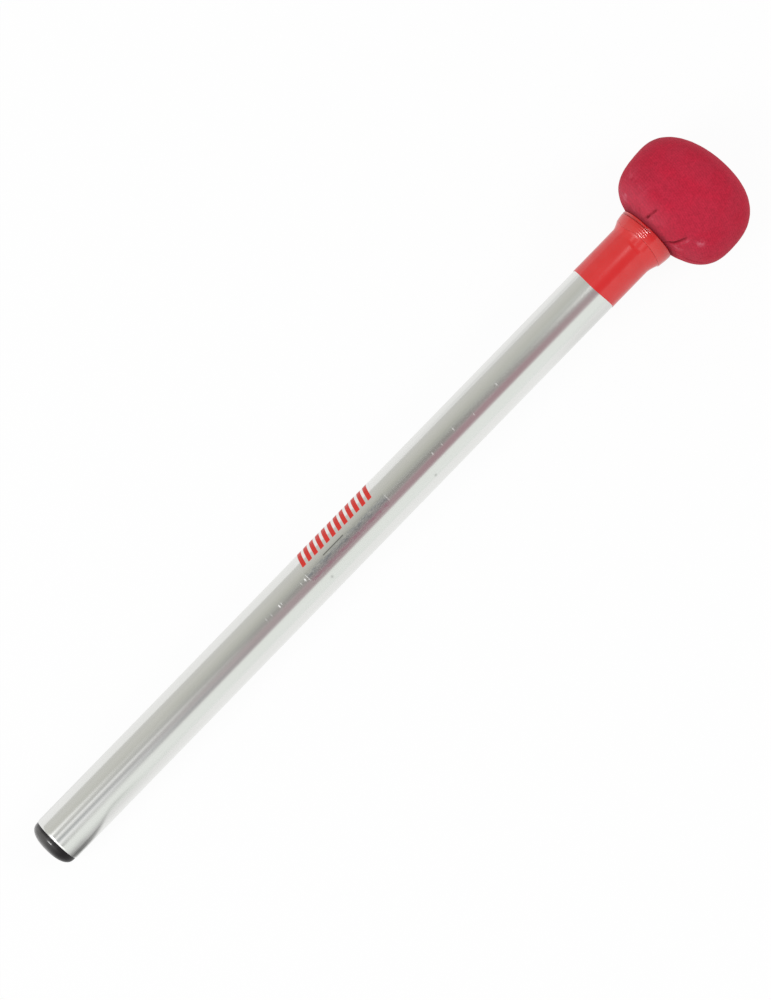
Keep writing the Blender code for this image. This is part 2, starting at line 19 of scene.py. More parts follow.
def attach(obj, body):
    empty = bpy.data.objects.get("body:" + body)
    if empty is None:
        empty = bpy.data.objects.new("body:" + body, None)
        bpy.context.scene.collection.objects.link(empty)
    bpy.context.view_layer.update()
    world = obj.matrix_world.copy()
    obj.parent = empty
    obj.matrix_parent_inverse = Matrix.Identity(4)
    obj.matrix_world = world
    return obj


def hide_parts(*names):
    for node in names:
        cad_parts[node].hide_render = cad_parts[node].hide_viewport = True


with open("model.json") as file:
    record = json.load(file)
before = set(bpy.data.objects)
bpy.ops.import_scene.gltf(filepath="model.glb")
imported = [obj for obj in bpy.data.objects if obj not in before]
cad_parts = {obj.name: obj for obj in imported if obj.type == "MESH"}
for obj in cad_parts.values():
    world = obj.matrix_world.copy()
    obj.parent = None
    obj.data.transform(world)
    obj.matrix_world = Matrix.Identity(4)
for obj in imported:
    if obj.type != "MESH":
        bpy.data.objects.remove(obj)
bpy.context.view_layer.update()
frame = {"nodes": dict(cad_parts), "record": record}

print("pieces in the frame:", ", ".join(sorted(frame["nodes"])))

# %% [markdown]
# ## The mallet's own axis
#
# The mallet lies down, so its axis leans a little. Every skin here is turned about that axis, and
# it is far easier to think in the mallet's own coordinates: x runs from the butt to the head, y
# out to one side and z straight up from the top of the tube. The two ends of the tube in the
# frame give the axis exactly, with no copied numbers.

# %% Find the axis and measure the frame along it
MM = 0.001


def corners_of(node):
    """The places of a frame piece's corners, as rows of x, y and z."""
    return np.array([corner.co for corner in frame["nodes"][node].data.vertices])


def ring_middle(points, along, end):
    """The middle of the flat ring of corners at one end of the tube."""
    reach = points @ along
    ring = points[np.abs(reach - end(reach)) < 0.01 * MM]
    return Vector(np.unique(ring.round(6), axis=0).mean(axis=0))


grip = next(mount for mount in frame["record"]["mounts"] if mount["name"] == "grip")
tube_corners = corners_of("handle_tube")
butt_end = ring_middle(tube_corners, np.array(grip["axis"]), np.min)
neck_end = ring_middle(tube_corners, np.array(grip["axis"]), np.max)
ALONG = (neck_end - butt_end).normalized()
SIDEWAYS = Vector((0.0, 1.0, 0.0))
UPWARD = ALONG.cross(SIDEWAYS)
MALLET = Matrix((ALONG, SIDEWAYS, UPWARD)).transposed().to_4x4()
MALLET.translation = butt_end


def span(node):
    """Where a frame piece starts and ends along the axis, and its widest radius with its place."""
    local = (corners_of(node) - np.array(butt_end)) @ np.array((ALONG, SIDEWAYS, UPWARD)).T
    radius = np.hypot(local[:, 1], local[:, 2])
    widest = radius.argmax()
    return local[:, 0].min(), local[:, 0].max(), radius[widest], local[widest, 0]


TUBE_START, TUBE_END, TUBE_RADIUS, _ = span("handle_tube")
CAP_TIP, CAP_STEM_END, CAP_RADIUS, _ = span("butt_cap")
SLEEVE_START, SLEEVE_END, _, _ = span("neck_tape")
COLLAR_START, COLLAR_END, _, _ = span("collar_tape")
COVER_START, HEAD_CROWN, HEAD_RADIUS, _ = span("head_cover")
print(f"tube {TUBE_END / MM:.1f} mm long and {2 * TUBE_RADIUS / MM:.1f} mm thick")
print(f"sleeve from {SLEEVE_START / MM:.1f} to {SLEEVE_END / MM:.1f} mm, collar to {COLLAR_END / MM:.1f} mm")
print(f"head {2 * HEAD_RADIUS / MM:.1f} mm across, crown at {HEAD_CROWN / MM:.1f} mm")

# %% [markdown]
# ## Writing materials as sums
#
# A material is a little network of nodes. Drawn by hand it is clear, but in a script the links
# drown the idea. So one small class wraps a node's socket and lets plain Python arithmetic add the
# Math nodes: `1 - mask * 0.3` reads as what it does. Colours and vectors must not pass through a
# Math node, which would turn them grey, so the class picks Vector Math for them by itself.

# %% Sockets that can be added and multiplied


class Term:
    """A socket of a node tree that takes part in Python arithmetic."""

    def __init__(self, graph, socket):
        self.graph = graph
        self.socket = socket
        self.wide = socket.type in ("RGBA", "VECTOR")

    def combine(self, operation, first, second):
        wide = [term.wide if isinstance(term, Term) else isinstance(term, tuple) for term in (first, second)]
        kind = "ShaderNodeVectorMath" if any(wide) else "ShaderNodeMath"
        return self.graph.node(kind, {"operation": operation}, {0: first, 1: second})

    def __add__(self, other):
        return self.combine("ADD", self, other)

    def __radd__(self, other):
        return self.combine("ADD", other, self)

    def __sub__(self, other):
        return self.combine("SUBTRACT", self, other)

    def __rsub__(self, other):
        return self.combine("SUBTRACT", other, self)

    def __mul__(self, other):
        return self.combine("MULTIPLY", self, other)

    def __rmul__(self, other):
        return self.combine("MULTIPLY", other, self)

    def __truediv__(self, other):
        return self.combine("DIVIDE", self, other)


print("sockets can now be added and multiplied")

# %% A tree that takes any node in one line


class Graph:
    """A node tree with one method that adds any node."""

    def __init__(self, tree):
        self.tree = tree

    def node(self, kind, settings=None, values=None, output=0):
        """Adds a node, sets its settings first and its sockets next, and wraps one output."""
        made = self.tree.nodes.new(kind)
        for name, value in (settings or {}).items():
            if name == "stops":
                self.set_stops(made.color_ramp, value)
            else:
                setattr(made, name, value)
        for key, value in (values or {}).items():
            self.feed(made.inputs[key], value)
        return Term(self, made.outputs[output])

    def set_stops(self, ramp, stops):
        """Fills a colour ramp with (place, colour) stops."""
        while len(ramp.elements) < len(stops):
            ramp.elements.new(1.0)
        for element, (place, colour) in zip(ramp.elements, stops):
            element.position = place
            element.color = (*colour, 1.0)

    def feed(self, socket, value):
        """Links a term to a socket, or sets the socket's own constant."""
        if isinstance(value, Term):
            self.tree.links.new(value.socket, socket)
        elif socket.type == "RGBA":
            socket.default_value = (*value, 1.0)
        elif socket.type == "VECTOR" and not isinstance(value, tuple):
            socket.default_value = (value, value, value)
        else:
            socket.default_value = value

    def math(self, operation, first, second=0.0):
        """A Math node for what has no operator of its own, such as a sine."""
        return self.node("ShaderNodeMath", {"operation": operation}, {0: first, 1: second})

    def blend(self, share, first, second):
        """A colour that goes from the first to the second as share goes from 0 to 1."""
        return self.node("ShaderNodeMix", {"data_type": "RGBA"}, {0: share, 6: first, 7: second}, 2)

    def between(self, value, low, high):
        """0 at low, 1 at high and a smooth step between them. It falls where low is the larger."""
        settings = {"interpolation_type": "SMOOTHSTEP"}
        if low > high:
            return 1.0 - self.between(value, high, low)
        values = {"Value": value, "From Min": low, "From Max": high}
        return self.node("ShaderNodeMapRange", settings, values)

    def hump(self, value, middle, width):
        """1 at the middle and a soft fall to nothing about two widths away."""
        away = (value - middle) / width
        return self.math("EXPONENT", away * away * -1.0)

    def within(self, value, first, full, fading, last):
        """Rises from 0 to 1 between first and full, and falls back to 0 between fading and last."""
        return self.between(value, first, full) * self.between(value, last, fading)

    def grain(self, place, spacing, detail=2.0, roughness=0.5, distortion=0.0):
        """Soft noise from 0 to 1, with grains about one spacing apart."""
        values = {"Vector": place, "Scale": 1.0 / spacing, "Detail": detail, "Roughness": roughness}
        values["Distortion"] = distortion
        return self.node("ShaderNodeTexNoise", {}, values)


print("trees can now take nodes, masks and noise")

# %% A finish with its own shader


class Finish(Graph):
    """One surface finish: a Principled shader and the terms that feed it."""

    def __init__(self, name, **constants):
        self.material = bpy.data.materials.new(name)
        self.material.use_nodes = True
        super().__init__(self.material.node_tree)
        self.shader = self.tree.nodes["Principled BSDF"]
        self.set(**constants)

    def set(self, **terms):
        """Feeds the shader's sockets by name, with an underscore for each space."""
        for socket, value in terms.items():
            self.feed(self.shader.inputs[socket.replace("_", " ")], value)

    def place(self):
        """Where a point of the surface is, in the piece's own coordinates in metres."""
        return self.node("ShaderNodeTexCoord", output="Object")

    def parts(self, vector):
        """The x, y and z of a vector as three numbers."""
        split = self.node("ShaderNodeSeparateXYZ", {}, {0: vector}).socket.node
        return [Term(self, output) for output in split.outputs]

    def degrees_round(self, place):
        """The angle round the axis in degrees, 0 on the top and growing towards +y."""
        _, y, z = self.parts(place)
        return self.math("ARCTAN2", y, z) * math.degrees(1.0)

    def written(self, name):
        """The number of that name that is stored at every point of the mesh."""
        layer = self.node("ShaderNodeAttribute", {"attribute_name": name}).socket.node
        return Term(self, layer.outputs["Fac"])

    def glow(self, colour):
        """A shader that gives off light of its own."""
        return self.node("ShaderNodeEmission", {}, {"Color": colour, "Strength": 1.0})

    def show(self, surface):
        """Puts another shader than the Principled one on the material's output."""
        self.feed(self.tree.nodes["Material Output"].inputs["Surface"], surface)

    def raised(self, height, depth):
        """Bumps the surface by height, a number from 0 to 1, times depth in metres."""
        return self.node("ShaderNodeBump", {}, {"Height": height, "Distance": depth, "Strength": 1.0})


print("materials can now be written as sums")

# %% [markdown]
# ## The camera
#
# The camera looks almost straight down and a little from the butt's side, so that the underside
# of the head shows. It is rolled until the mallet rises to the right at 46 degrees. A point on
# the axis is chosen to sit in the middle of the picture, and everything else follows from that.

# %% The camera
PICTURE_TILT = math.radians(45.77)
CAMERA_LEAN = math.radians(2.8)
CAMERA_DISTANCE = 1.282
CAMERA_LENS = 110.0
SENSOR = 36.0
AIM_ALONG = 0.1968
AIM_ACROSS = 0.00064

camera_data = bpy.data.cameras.new("camera")
camera_data.lens = CAMERA_LENS
camera_data.sensor_width = SENSOR
camera_data.clip_start = 0.05
camera_data.clip_end = 50.0
camera = bpy.data.objects.new("camera", camera_data)
bpy.context.scene.collection.objects.link(camera)
bpy.context.scene.camera = camera
aim = MALLET @ Vector((AIM_ALONG, AIM_ACROSS, 0.0))
back = (UPWARD * math.cos(CAMERA_LEAN) - ALONG * math.sin(CAMERA_LEAN)).normalized()
flat_along = (ALONG - back * ALONG.dot(back)).normalized()
flat_across = back.cross(flat_along)
right = flat_along * math.cos(PICTURE_TILT) - flat_across * math.sin(PICTURE_TILT)
up = back.cross(right)
turn = Matrix((right, up, back)).transposed().to_4x4()
turn.translation = aim + back * CAMERA_DISTANCE
camera.matrix_world = turn
bpy.context.scene.view_settings.view_transform = "Standard"
print(f"camera {CAMERA_DISTANCE:.2f} m away, {CAMERA_LENS:.0f} mm lens")

# %% [markdown]
# ## The table and the light
#
# A catalogue picture has a white ground and light from all round. The floor takes a faint shadow
# and shows white, the world is a soft grey-white room, and two soft lamps past the two ends
# shape the head and the tape. They stand at the ends on purpose: a tube mirrors only what lies
# square across it, so lamps beyond its ends light everything and draw no hard line on the metal.

# %% A pale floor and a white room


def keep_on_stage(thing):
    """Links an object of the set, such as the floor, which is no part of the mallet."""
    bpy.context.scene.collection.objects.link(thing)
    return thing


FLOOR_HALF = 4.0
FLOOR_COLOUR = (0.80, 0.80, 0.80)
FLOOR_GLOW = 0.94
AMBIENT = 0.75

floor_mesh = bpy.data.meshes.new("floor")
floor_corners = [(-FLOOR_HALF, -FLOOR_HALF, 0.0), (FLOOR_HALF, -FLOOR_HALF, 0.0)]
floor_corners += [(FLOOR_HALF, FLOOR_HALF, 0.0), (-FLOOR_HALF, FLOOR_HALF, 0.0)]
floor_mesh.from_pydata(floor_corners, [], [(0, 1, 2, 3)])
keep_on_stage(bpy.data.objects.new("floor", floor_mesh))


def seen_directly(graph):
    """1 for what the camera sees, also by way of metal and gloss, and 0 for light that bounces on."""
    light_path = graph.node("ShaderNodeLightPath").socket.node
    direct = Term(graph, light_path.outputs["Is Camera Ray"])
    mirrored = Term(graph, light_path.outputs["Is Glossy Ray"])
    through = Term(graph, light_path.outputs["Is Transmission Ray"])
    return direct + mirrored + through


paper = Finish("floor_paper", Base_Color=FLOOR_COLOUR, Roughness=0.9, Specular_IOR_Level=0.0)
shaded = Term(paper, paper.shader.outputs[0])
white = paper.glow((1.0, 1.0, 1.0))
glow_share = seen_directly(paper) * FLOOR_GLOW
paper.show(paper.node("ShaderNodeMixShader", {}, {0: glow_share, 1: shaded, 2: white}))
floor_mesh.materials.append(paper.material)

room = bpy.data.worlds.new("room")
room.use_nodes = True
bpy.context.scene.world = room
air = Graph(room.node_tree)
backdrop = air.blend(seen_directly(air), (AMBIENT, AMBIENT, AMBIENT), (1.0, 1.0, 1.0))
air.feed(room.node_tree.nodes["Background"].inputs["Color"], backdrop)
print("floor and room made")

# %% Two soft lamps beyond the ends
LAMPS = {
    "lamp_past_head": ((1.15, -0.75, 1.35), 0.5, 6.0),
    "lamp_past_butt": ((-1.27, 0.40, 1.38), 0.7, 13.5),
}
LAMP_HEIGHT = 0.34
for name, (place, width, power) in LAMPS.items():
    light = bpy.data.lights.new(name, "AREA")
    light.shape = "RECTANGLE"
    light.size = width
    light.size_y = LAMP_HEIGHT
    light.energy = power
    lamp = bpy.data.objects.new(name, light)
    lamp.location = place
    lamp.rotation_mode = "QUATERNION"
    lamp.rotation_quaternion = (-Vector(place)).to_track_quat("-Z", "Y")
    bpy.context.scene.collection.objects.link(lamp)
print("lamps:", ", ".join(LAMPS))

# %% [markdown]
# ## What the metal mirrors
#
# Polished metal only looks like metal when it has something dark to mirror. Here a curved sheet
# hangs over the table and glows with painted greys, and the bare white room shows past its edges.
# Its colours are painted reflections, and the tube squeezes them into its long bands. A place on
# the tube at some angle from its top mirrors the sheet at twice that angle, and a step along the
# tube becomes a step more than twice as long on the sheet, so `over` turns a place on the tube
# into the place that it mirrors. The sheet is only there for mirrors, so it neither shades nor
# tints anything else.

# %% Where the tube looks on the paper
SHEET_RADIUS = 1.5
SHEET_START = -2.4
SHEET_END = 2.0
SHEET_STEPS = 64
FAR_EDGE = 104.0
NEAR_EDGE = -88.0

camera_foot = AIM_ALONG - CAMERA_DISTANCE * math.sin(CAMERA_LEAN)
stretch = 1 + SHEET_RADIUS / (CAMERA_DISTANCE * math.cos(CAMERA_LEAN))


def over(along):
    """The paper's own x that a place along the top of the tube mirrors."""
    mirrored = camera_foot + stretch * (along - camera_foot)
    return (MALLET @ Vector((mirrored, 0.0, SHEET_RADIUS))).x


sheet_mesh = bpy.data.meshes.new("mirrored_glow_sheet")
sheet_points = []
for step in range(SHEET_STEPS + 1):
    bend = math.radians(FAR_EDGE + (NEAR_EDGE - FAR_EDGE) * step / SHEET_STEPS)
    y = SHEET_RADIUS * math.sin(bend)
    z = SHEET_RADIUS * math.cos(bend)
    sheet_points += [(SHEET_START, y, z), (SHEET_END, y, z)]
sheet_faces = [(2 * step, 2 * step + 1, 2 * step + 3, 2 * step + 2) for step in range(SHEET_STEPS)]
sheet_mesh.from_pydata(sheet_points, [], sheet_faces)
sheet = keep_on_stage(bpy.data.objects.new("mirrored_glow_sheet", sheet_mesh))
sheet.visible_camera = False
sheet.visible_diffuse = False
sheet.visible_shadow = False
print(f"the tube's ends mirror the paper at {over(TUBE_START):.2f} and {over(SLEEVE_START):.2f} m")

# %% [markdown]
# The sheet's glow is painted to be mirrored: darkest along its middle and lighter over the butt.
# Over the head half it has a mauve cast along its near side. A blue-grey line starts over the butt
# and drifts to the near side, and a few thin pale and dark stripes lie beside it. The brightest
# glow past white, as painted highlights. Each stripe is a soft hump across the sheet that comes
# and goes along it. Far past the butt the sheet is white, and the rounded rim of the tube shows
# that as a bright line.

# %% The painted reflections on the sheet
BUTT_GREY_END = 30 * MM
HEAD_GREY_START = 130 * MM

glowing_sheet = Finish("mirrored_glow_sheet")
sheet_place = glowing_sheet.place()
sheet_x = glowing_sheet.parts(sheet_place)[0]
bearing = glowing_sheet.degrees_round(sheet_place)
share_across = (bearing - NEAR_EDGE) / (FAR_EDGE - NEAR_EDGE)


def reflection_ramp(colours):
    """The colour across the paper, from colours that are given by their bearing in degrees."""
    width = FAR_EDGE - NEAR_EDGE
    stops = [((degrees - NEAR_EDGE) / width, colours[degrees]) for degrees in sorted(colours)]
    return glowing_sheet.node("ShaderNodeValToRGB", {"stops": stops}, {0: share_across})


OVER_HEAD = {
    104: (0.97, 0.97, 0.96),
    99: (0.84, 0.85, 0.83),
    93: (0.72, 0.72, 0.70),
    80: (0.676, 0.676, 0.65),
    64: (0.66, 0.655, 0.62),
    50: (0.61, 0.61, 0.57),
    36: (0.54, 0.54, 0.49),
    22: (0.44, 0.445, 0.415),
    9: (0.39, 0.375, 0.355),
    -4: (0.45, 0.38, 0.385),
    -17: (0.44, 0.35, 0.36),
    -27: (0.48, 0.40, 0.41),
    -32: (0.62, 0.56, 0.57),
    -38: (0.92, 0.95, 0.92),
    -88: (0.92, 0.95, 0.93),
}
OVER_BUTT = {
    104: (0.98, 0.98, 0.97),
    97: (0.90, 0.90, 0.89),
    88: (0.72, 0.72, 0.70),
    80: (0.69, 0.69, 0.66),
    64: (0.69, 0.69, 0.66),
    50: (0.66, 0.66, 0.62),
    36: (0.62, 0.62, 0.59),
    22: (0.58, 0.58, 0.56),
    9: (0.58, 0.59, 0.58),
    -4: (0.60, 0.61, 0.61),
    -17: (0.69, 0.71, 0.72),
    -27: (0.84, 0.85, 0.85),
    -35: (0.95, 0.97, 0.95),
    -88: (0.93, 0.96, 0.93),
}
towards_head = glowing_sheet.between(sheet_x, over(BUTT_GREY_END), over(HEAD_GREY_START))
reflection_colour = glowing_sheet.blend(towards_head, reflection_ramp(OVER_BUTT), reflection_ramp(OVER_HEAD))
print("paper greyed across and along")

# %% The mauve cast and the blue line
MAUVE = (0.41, 0.235, 0.275)
MAUVE_WEIGHT = 0.72
MAUVE_REACH = (0.105, 0.235, 0.262, 0.318)
MAUVE_SIDES = (-36.0, -30.0, -10.0, 0.0)
BLUE = (0.24, 0.28, 0.29)
BLUE_BEARING = -8.0
BLUE_DRIFT = 17.0
BLUE_WIDTH = 3.2
BLUE_SPREAD = 5.5
BLUE_BEND = (25 * MM, 55 * MM)
BLUE_WIDENS = (25 * MM, 70 * MM)
BLUE_FADES = (135 * MM, 85 * MM)


def along_tube(ends):
    """Rises from 0 to 1 on the paper between two places on the tube, or falls if they are reversed."""
    return glowing_sheet.between(sheet_x, *map(over, ends))


def along_paper(reach):
    """1 between the middle two of four places on the tube, and 0 outside the outer two."""
    return glowing_sheet.within(sheet_x, *map(over, reach))


mauve = along_paper(MAUVE_REACH) * glowing_sheet.within(bearing, *MAUVE_SIDES)
reflection_colour = glowing_sheet.blend(mauve * MAUVE_WEIGHT, reflection_colour, MAUVE)

blue_bearing = BLUE_BEARING - BLUE_DRIFT * along_tube(BLUE_BEND)
blue_width = BLUE_WIDTH + BLUE_SPREAD * along_tube(BLUE_WIDENS)
blue_line = glowing_sheet.hump(bearing, blue_bearing, blue_width) * along_tube(BLUE_FADES)
reflection_colour = glowing_sheet.blend(blue_line * (0.55 + towards_head * 0.4), reflection_colour, BLUE)
print("cast and line laid on the paper")

# %% Stripes and the white end
# Each stripe has its bearing and width in degrees, its reach along the tube in metres, its
# weight and its colour.
REFLECTION_STRIPES = (
    (6.0, 5.0, (-0.5, -0.4, 0.015, 0.110), 0.85, (1.2, 1.2, 1.2)),
    (29.5, 6.0, (-0.5, -0.4, 0.006, 0.028), 0.95, (1.45, 1.45, 1.45)),
    (-20.0, 5.0, (-0.5, -0.4, 0.014, 0.060), 0.90, (1.2, 1.2, 1.2)),
    (-36.0, 5.5, (-0.5, -0.4, 0.006, 0.024), 0.85, (0.40, 0.40, 0.39)),
    (6.5, 8.5, (0.100, 0.130, 0.262, 0.300), 0.60, (0.25, 0.24, 0.23)),
    (30.0, 12.0, (0.270, 0.305, 0.90, 1.00), 0.45, (0.80, 0.82, 0.82)),
    (4.0, 8.0, (0.275, 0.300, 0.90, 1.00), 0.16, (0.72, 0.80, 0.80)),
    (12.0, 8.5, (0.328, 0.340, 0.90, 1.00), 0.95, (2.15, 2.15, 2.15)),
)
WHITE_END = -0.98
WHITE_BLUR = 0.1
WHITE_SIDES = (-82.0, -50.0, 26.0, 62.0)

for middle, width, reach, weight, colour in REFLECTION_STRIPES:
    stripe = glowing_sheet.hump(bearing, middle, width) * along_paper(reach)
    reflection_colour = glowing_sheet.blend(stripe * weight, reflection_colour, colour)

white_end = glowing_sheet.between(sheet_x, WHITE_END, WHITE_END - WHITE_BLUR)
white_end = white_end * glowing_sheet.within(bearing, *WHITE_SIDES)
reflection_colour = glowing_sheet.blend(white_end, reflection_colour, (1.4, 1.4, 1.4))
# The sheet glows with its painted reflections and is seen only in mirrors.
glowing_sheet.show(glowing_sheet.glow(reflection_colour))
sheet_mesh.materials.append(glowing_sheet.material)
print(f"paper hung {SHEET_RADIUS} m over the table with {len(REFLECTION_STRIPES)} stripes")

# %% [markdown]
# ## Skins turned about the axis
#
# Nearly every piece is round about the axis, as it came off a lathe, out of a die or off a roll of
# tape. One helper turns an outline of (x, radius) points into a closed skin. It also takes a
# function that may push each point along the axis or outwards by its angle, and that is how a
# slanting tape edge, a pleat or a dent gets into a turned shape. Angle 0 is the top of the mallet.

# %% The turning helper
MERGE_DISTANCE = 0.0005 * MM
SHARP_ANGLE = math.radians(38)


def bell(away, power=2):
    """1 where away is 0 and a soft fall on both sides, with a flatter top for a higher power."""
    return np.exp(-(away**power))


def skin(name, outline, segments, shape=None, closed=True):
    """Turns an outline about the axis. An open outline is left open where it is off the axis."""
    profile = np.array(outline)
    count = len(profile)
    angles = np.linspace(0.0, math.tau, segments, endpoint=False)
    x = np.repeat(profile[:, :1], segments, axis=1)
    radius = np.repeat(profile[:, 1:], segments, axis=1)
    if shape:
        x, radius = shape(x, radius, np.broadcast_to(angles, x.shape))
    points = np.stack((x, radius * np.sin(angles), radius * np.cos(angles)), axis=-1)
    faces = []
    for row in range(count if closed else count - 1):
        here = row * segments
        beyond = (row + 1) % count * segments
        for column in range(segments):
            beside = (column + 1) % segments
            faces.append((here + column, here + beside, beyond + beside, beyond + column))
    mesh = bpy.data.meshes.new(name)
    mesh.from_pydata(points.reshape(-1, 3).tolist(), [], faces)
    return tidy(mesh)


def tidy(mesh):
    """Merges doubled points, turns the faces outwards and shades the skin smooth."""
    builder = bmesh.new()
    builder.from_mesh(mesh)
    bmesh.ops.remove_doubles(builder, verts=builder.verts, dist=MERGE_DISTANCE)
    bmesh.ops.recalc_face_normals(builder, faces=builder.faces)
    builder.to_mesh(mesh)
    builder.free()
    mesh.shade_smooth()
    mesh.set_sharp_from_angle(angle=SHARP_ANGLE)
    return mesh


def add_piece(name, mesh, finish, slot, *nodes):
    """Puts a mesh on the mallet, in place of the frame's own pieces where it names them."""
    mesh.materials.clear()
    mesh.materials.append(finish.material)
    piece = bpy.data.objects.new(name, mesh)
    bpy.context.scene.collection.objects.link(piece)
    piece.matrix_world = MALLET
    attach(piece, "root")
    if nodes:
        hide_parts(*nodes)
    print(f"{name}: {len(mesh.polygons)} faces")
    return piece


def arc(centre, radius, first, last, steps):
    """Points of (x, radius) along an arc, with angles in degrees from +x towards outwards."""
    points = []
    for step in range(steps + 1):
        angle = math.radians(first + (last - first) * step / steps)
        points.append((centre[0] + radius * math.cos(angle), centre[1] + radius * math.sin(angle)))
    return points


print("skins can now be turned")

# %% [markdown]
# ## The aluminium tube
#
# The handle is drawn tube: pulled through a die, which leaves it nearly a mirror across and
# streaked with hair lines along its length. The lines are noise stretched a few hundred times
# along x. They drive a shallow bump and a small change of roughness, so a band of reflection
# breaks into threads. The metal itself is a pale grey a shade warmer than neutral.

# %% The drawn aluminium finish
LINE_SPACING = 0.35 * MM
LINE_STRETCH = 400.0
STREAK_SPACING = 2.6 * MM
CLOUD_SPACING = 9.0 * MM


def drawn_aluminium(name):
    """The tube's metal, with its place, and its colour, roughness and lines before any marks."""
    metal = Finish(name, Metallic=1.0)
    place = metal.place()
    stretched = place * (1.0 / LINE_STRETCH, 1.0, 1.0)
    lines = metal.grain(stretched, LINE_SPACING, detail=3.0, roughness=0.65)
    streaks = metal.grain(place * (0.02, 1.0, 1.0), STREAK_SPACING, detail=1.0)
    clouds = metal.grain(place * (0.3, 1.0, 1.0), CLOUD_SPACING, detail=3.0)
    colour = metal.blend(clouds, (0.765, 0.77, 0.745), (0.80, 0.80, 0.785)) * (0.96 + lines * 0.08)
    roughness = 0.11 + lines * 0.06 + clouds * 0.05
    return metal, place, colour, roughness, lines * 0.6 + streaks


aluminium, tube_place, metal_colour, metal_roughness, metal_lines = drawn_aluminium("drawn_aluminium")
print("aluminium mixed")

# %% [markdown]
# A used handle carries small marks. Nicks from rims and stands sit in rows near the top of the
# tube, each a bright tick with a burr. At the butt a dark patch is painted beside the plug as the
# darker reflection of a dent, with a faint painted shadow streak along it. Two long bands are
# painted darker where the metal mirrors shade, and one side near the tape is darker too. Every mark
# is a soft spot or band, laid down by its place along the tube and its angle.

# %% Nicks and specks
# Each nick has its x in millimetres, its angle in degrees, its length in millimetres and its brightness.
NICK_TOP = 7.4
NICKS = (
    (126.1, NICK_TOP, 0.22, 0.35),
    (129.0, NICK_TOP - 1, 0.22, 0.30),
    (133.9, NICK_TOP, 0.30, 0.85),
    (135.2, NICK_TOP + 1, 0.22, 0.45),
    (146.8, NICK_TOP, 0.22, 0.45),
    (149.2, NICK_TOP, 0.32, 0.95),
    (223.8, 0.1, 0.28, 0.55),
    (229.2, 0.0, 0.22, 0.40),
    (237.1, 5.4, 0.28, 0.50),
    (247.6, -4.5, 0.22, 0.40),
    (263.1, 6.2, 0.22, 0.40),
)
NICK_WIDTH = 3.4
SPECKS = ((158.0, -31.0), (218.5, -40.0))
SPECK_LENGTH = 0.6
SPECK_WIDTH = 3.5

tube_x = aluminium.parts(tube_place)[0]
tube_angle = aluminium.degrees_round(tube_place)


def spot(x, degrees, length, width):
    """A soft spot on the tube: x and length in millimetres, the angle and its width in degrees."""
    return aluminium.hump(tube_x, x * MM, length * MM) * aluminium.hump(tube_angle, degrees, width)


nicks = sum(spot(x, degrees, length, NICK_WIDTH) * bright for x, degrees, length, bright in NICKS)
specks = sum(spot(x, degrees, SPECK_LENGTH, SPECK_WIDTH) for x, degrees in SPECKS)
print(f"{len(NICKS)} nicks and {len(SPECKS)} specks")

# %% The painted dent shade and shadow streak
DENT_SHADE_LENGTH = 24 * MM
DENT_SHADE_TAIL = 48 * MM
DENT_SHADE_WIDTH = 4.5
DENT_SHADE_SPREAD = 10.5
DENT_SHADE_ANGLE = -62.0
DENT_SHADE_CLIMB = 26.0
CLIMB_REACH = (9 * MM, 28 * MM)
SHADOW_STREAK_LENGTH = 95 * MM
SHADOW_STREAK_ANGLE = -47.0
SHADOW_STREAK_WIDTH = 12.0

# Painted shade: a dark patch beside the plug stands in for a dent's darker reflection, and a faint streak
# along one side stands in for a soft shadow.
dent_shade_edge = aluminium.grain(tube_place * (0.1, 1.0, 1.0), 0.9 * MM, detail=2.0)
dent_shade_reach = aluminium.between(tube_x, DENT_SHADE_LENGTH, 6.0 * MM)
dent_shade_middle = DENT_SHADE_ANGLE + aluminium.between(tube_x, *CLIMB_REACH) * DENT_SHADE_CLIMB
dent_shade_width = DENT_SHADE_WIDTH + dent_shade_reach * DENT_SHADE_SPREAD
dent_shade = aluminium.hump(tube_angle, dent_shade_middle, dent_shade_width) * (0.22 + dent_shade_reach * 0.78)
dent_shade = dent_shade * aluminium.between(tube_x, DENT_SHADE_TAIL, DENT_SHADE_LENGTH) * (0.6 + dent_shade_edge * 0.7)
shadow_streak = aluminium.hump(tube_angle, SHADOW_STREAK_ANGLE, SHADOW_STREAK_WIDTH) * aluminium.between(tube_x, SHADOW_STREAK_LENGTH, 5 * MM)
print("smear laid down")

# %% Painted darker bands, and all the marks together
SHADED_LINE = 50.0
SHADED_LINE_WIDTH = 5.0
SHADED_HEAD_HALF = (180 * MM, 280 * MM)
SHADED_BUTT = (70 * MM, 0.0)
SHADED_BUTT_SIDE = (68.0, 80.0)
DARKER_NECK = (275 * MM, 312 * MM)
DARKER_NECK_SIDE = (-28.0, -68.0)

# Painted shade: the metal's colour is darkened in a band over the head half and on one side at the butt,
# where it mirrors darker surroundings. Near the tape one side is darker too.
shaded_head_half = aluminium.between(tube_x, *SHADED_HEAD_HALF)
shaded_head_half = shaded_head_half * aluminium.hump(tube_angle, SHADED_LINE, SHADED_LINE_WIDTH)
shaded_butt_side = aluminium.between(tube_x, *SHADED_BUTT) * aluminium.between(tube_angle, *SHADED_BUTT_SIDE)
darker_neck_side = aluminium.between(tube_x, *DARKER_NECK) * aluminium.between(tube_angle, *DARKER_NECK_SIDE)
metal_colour = metal_colour * (1.0 - shaded_head_half * 0.12 - shaded_butt_side * 0.16 - darker_neck_side * 0.15)
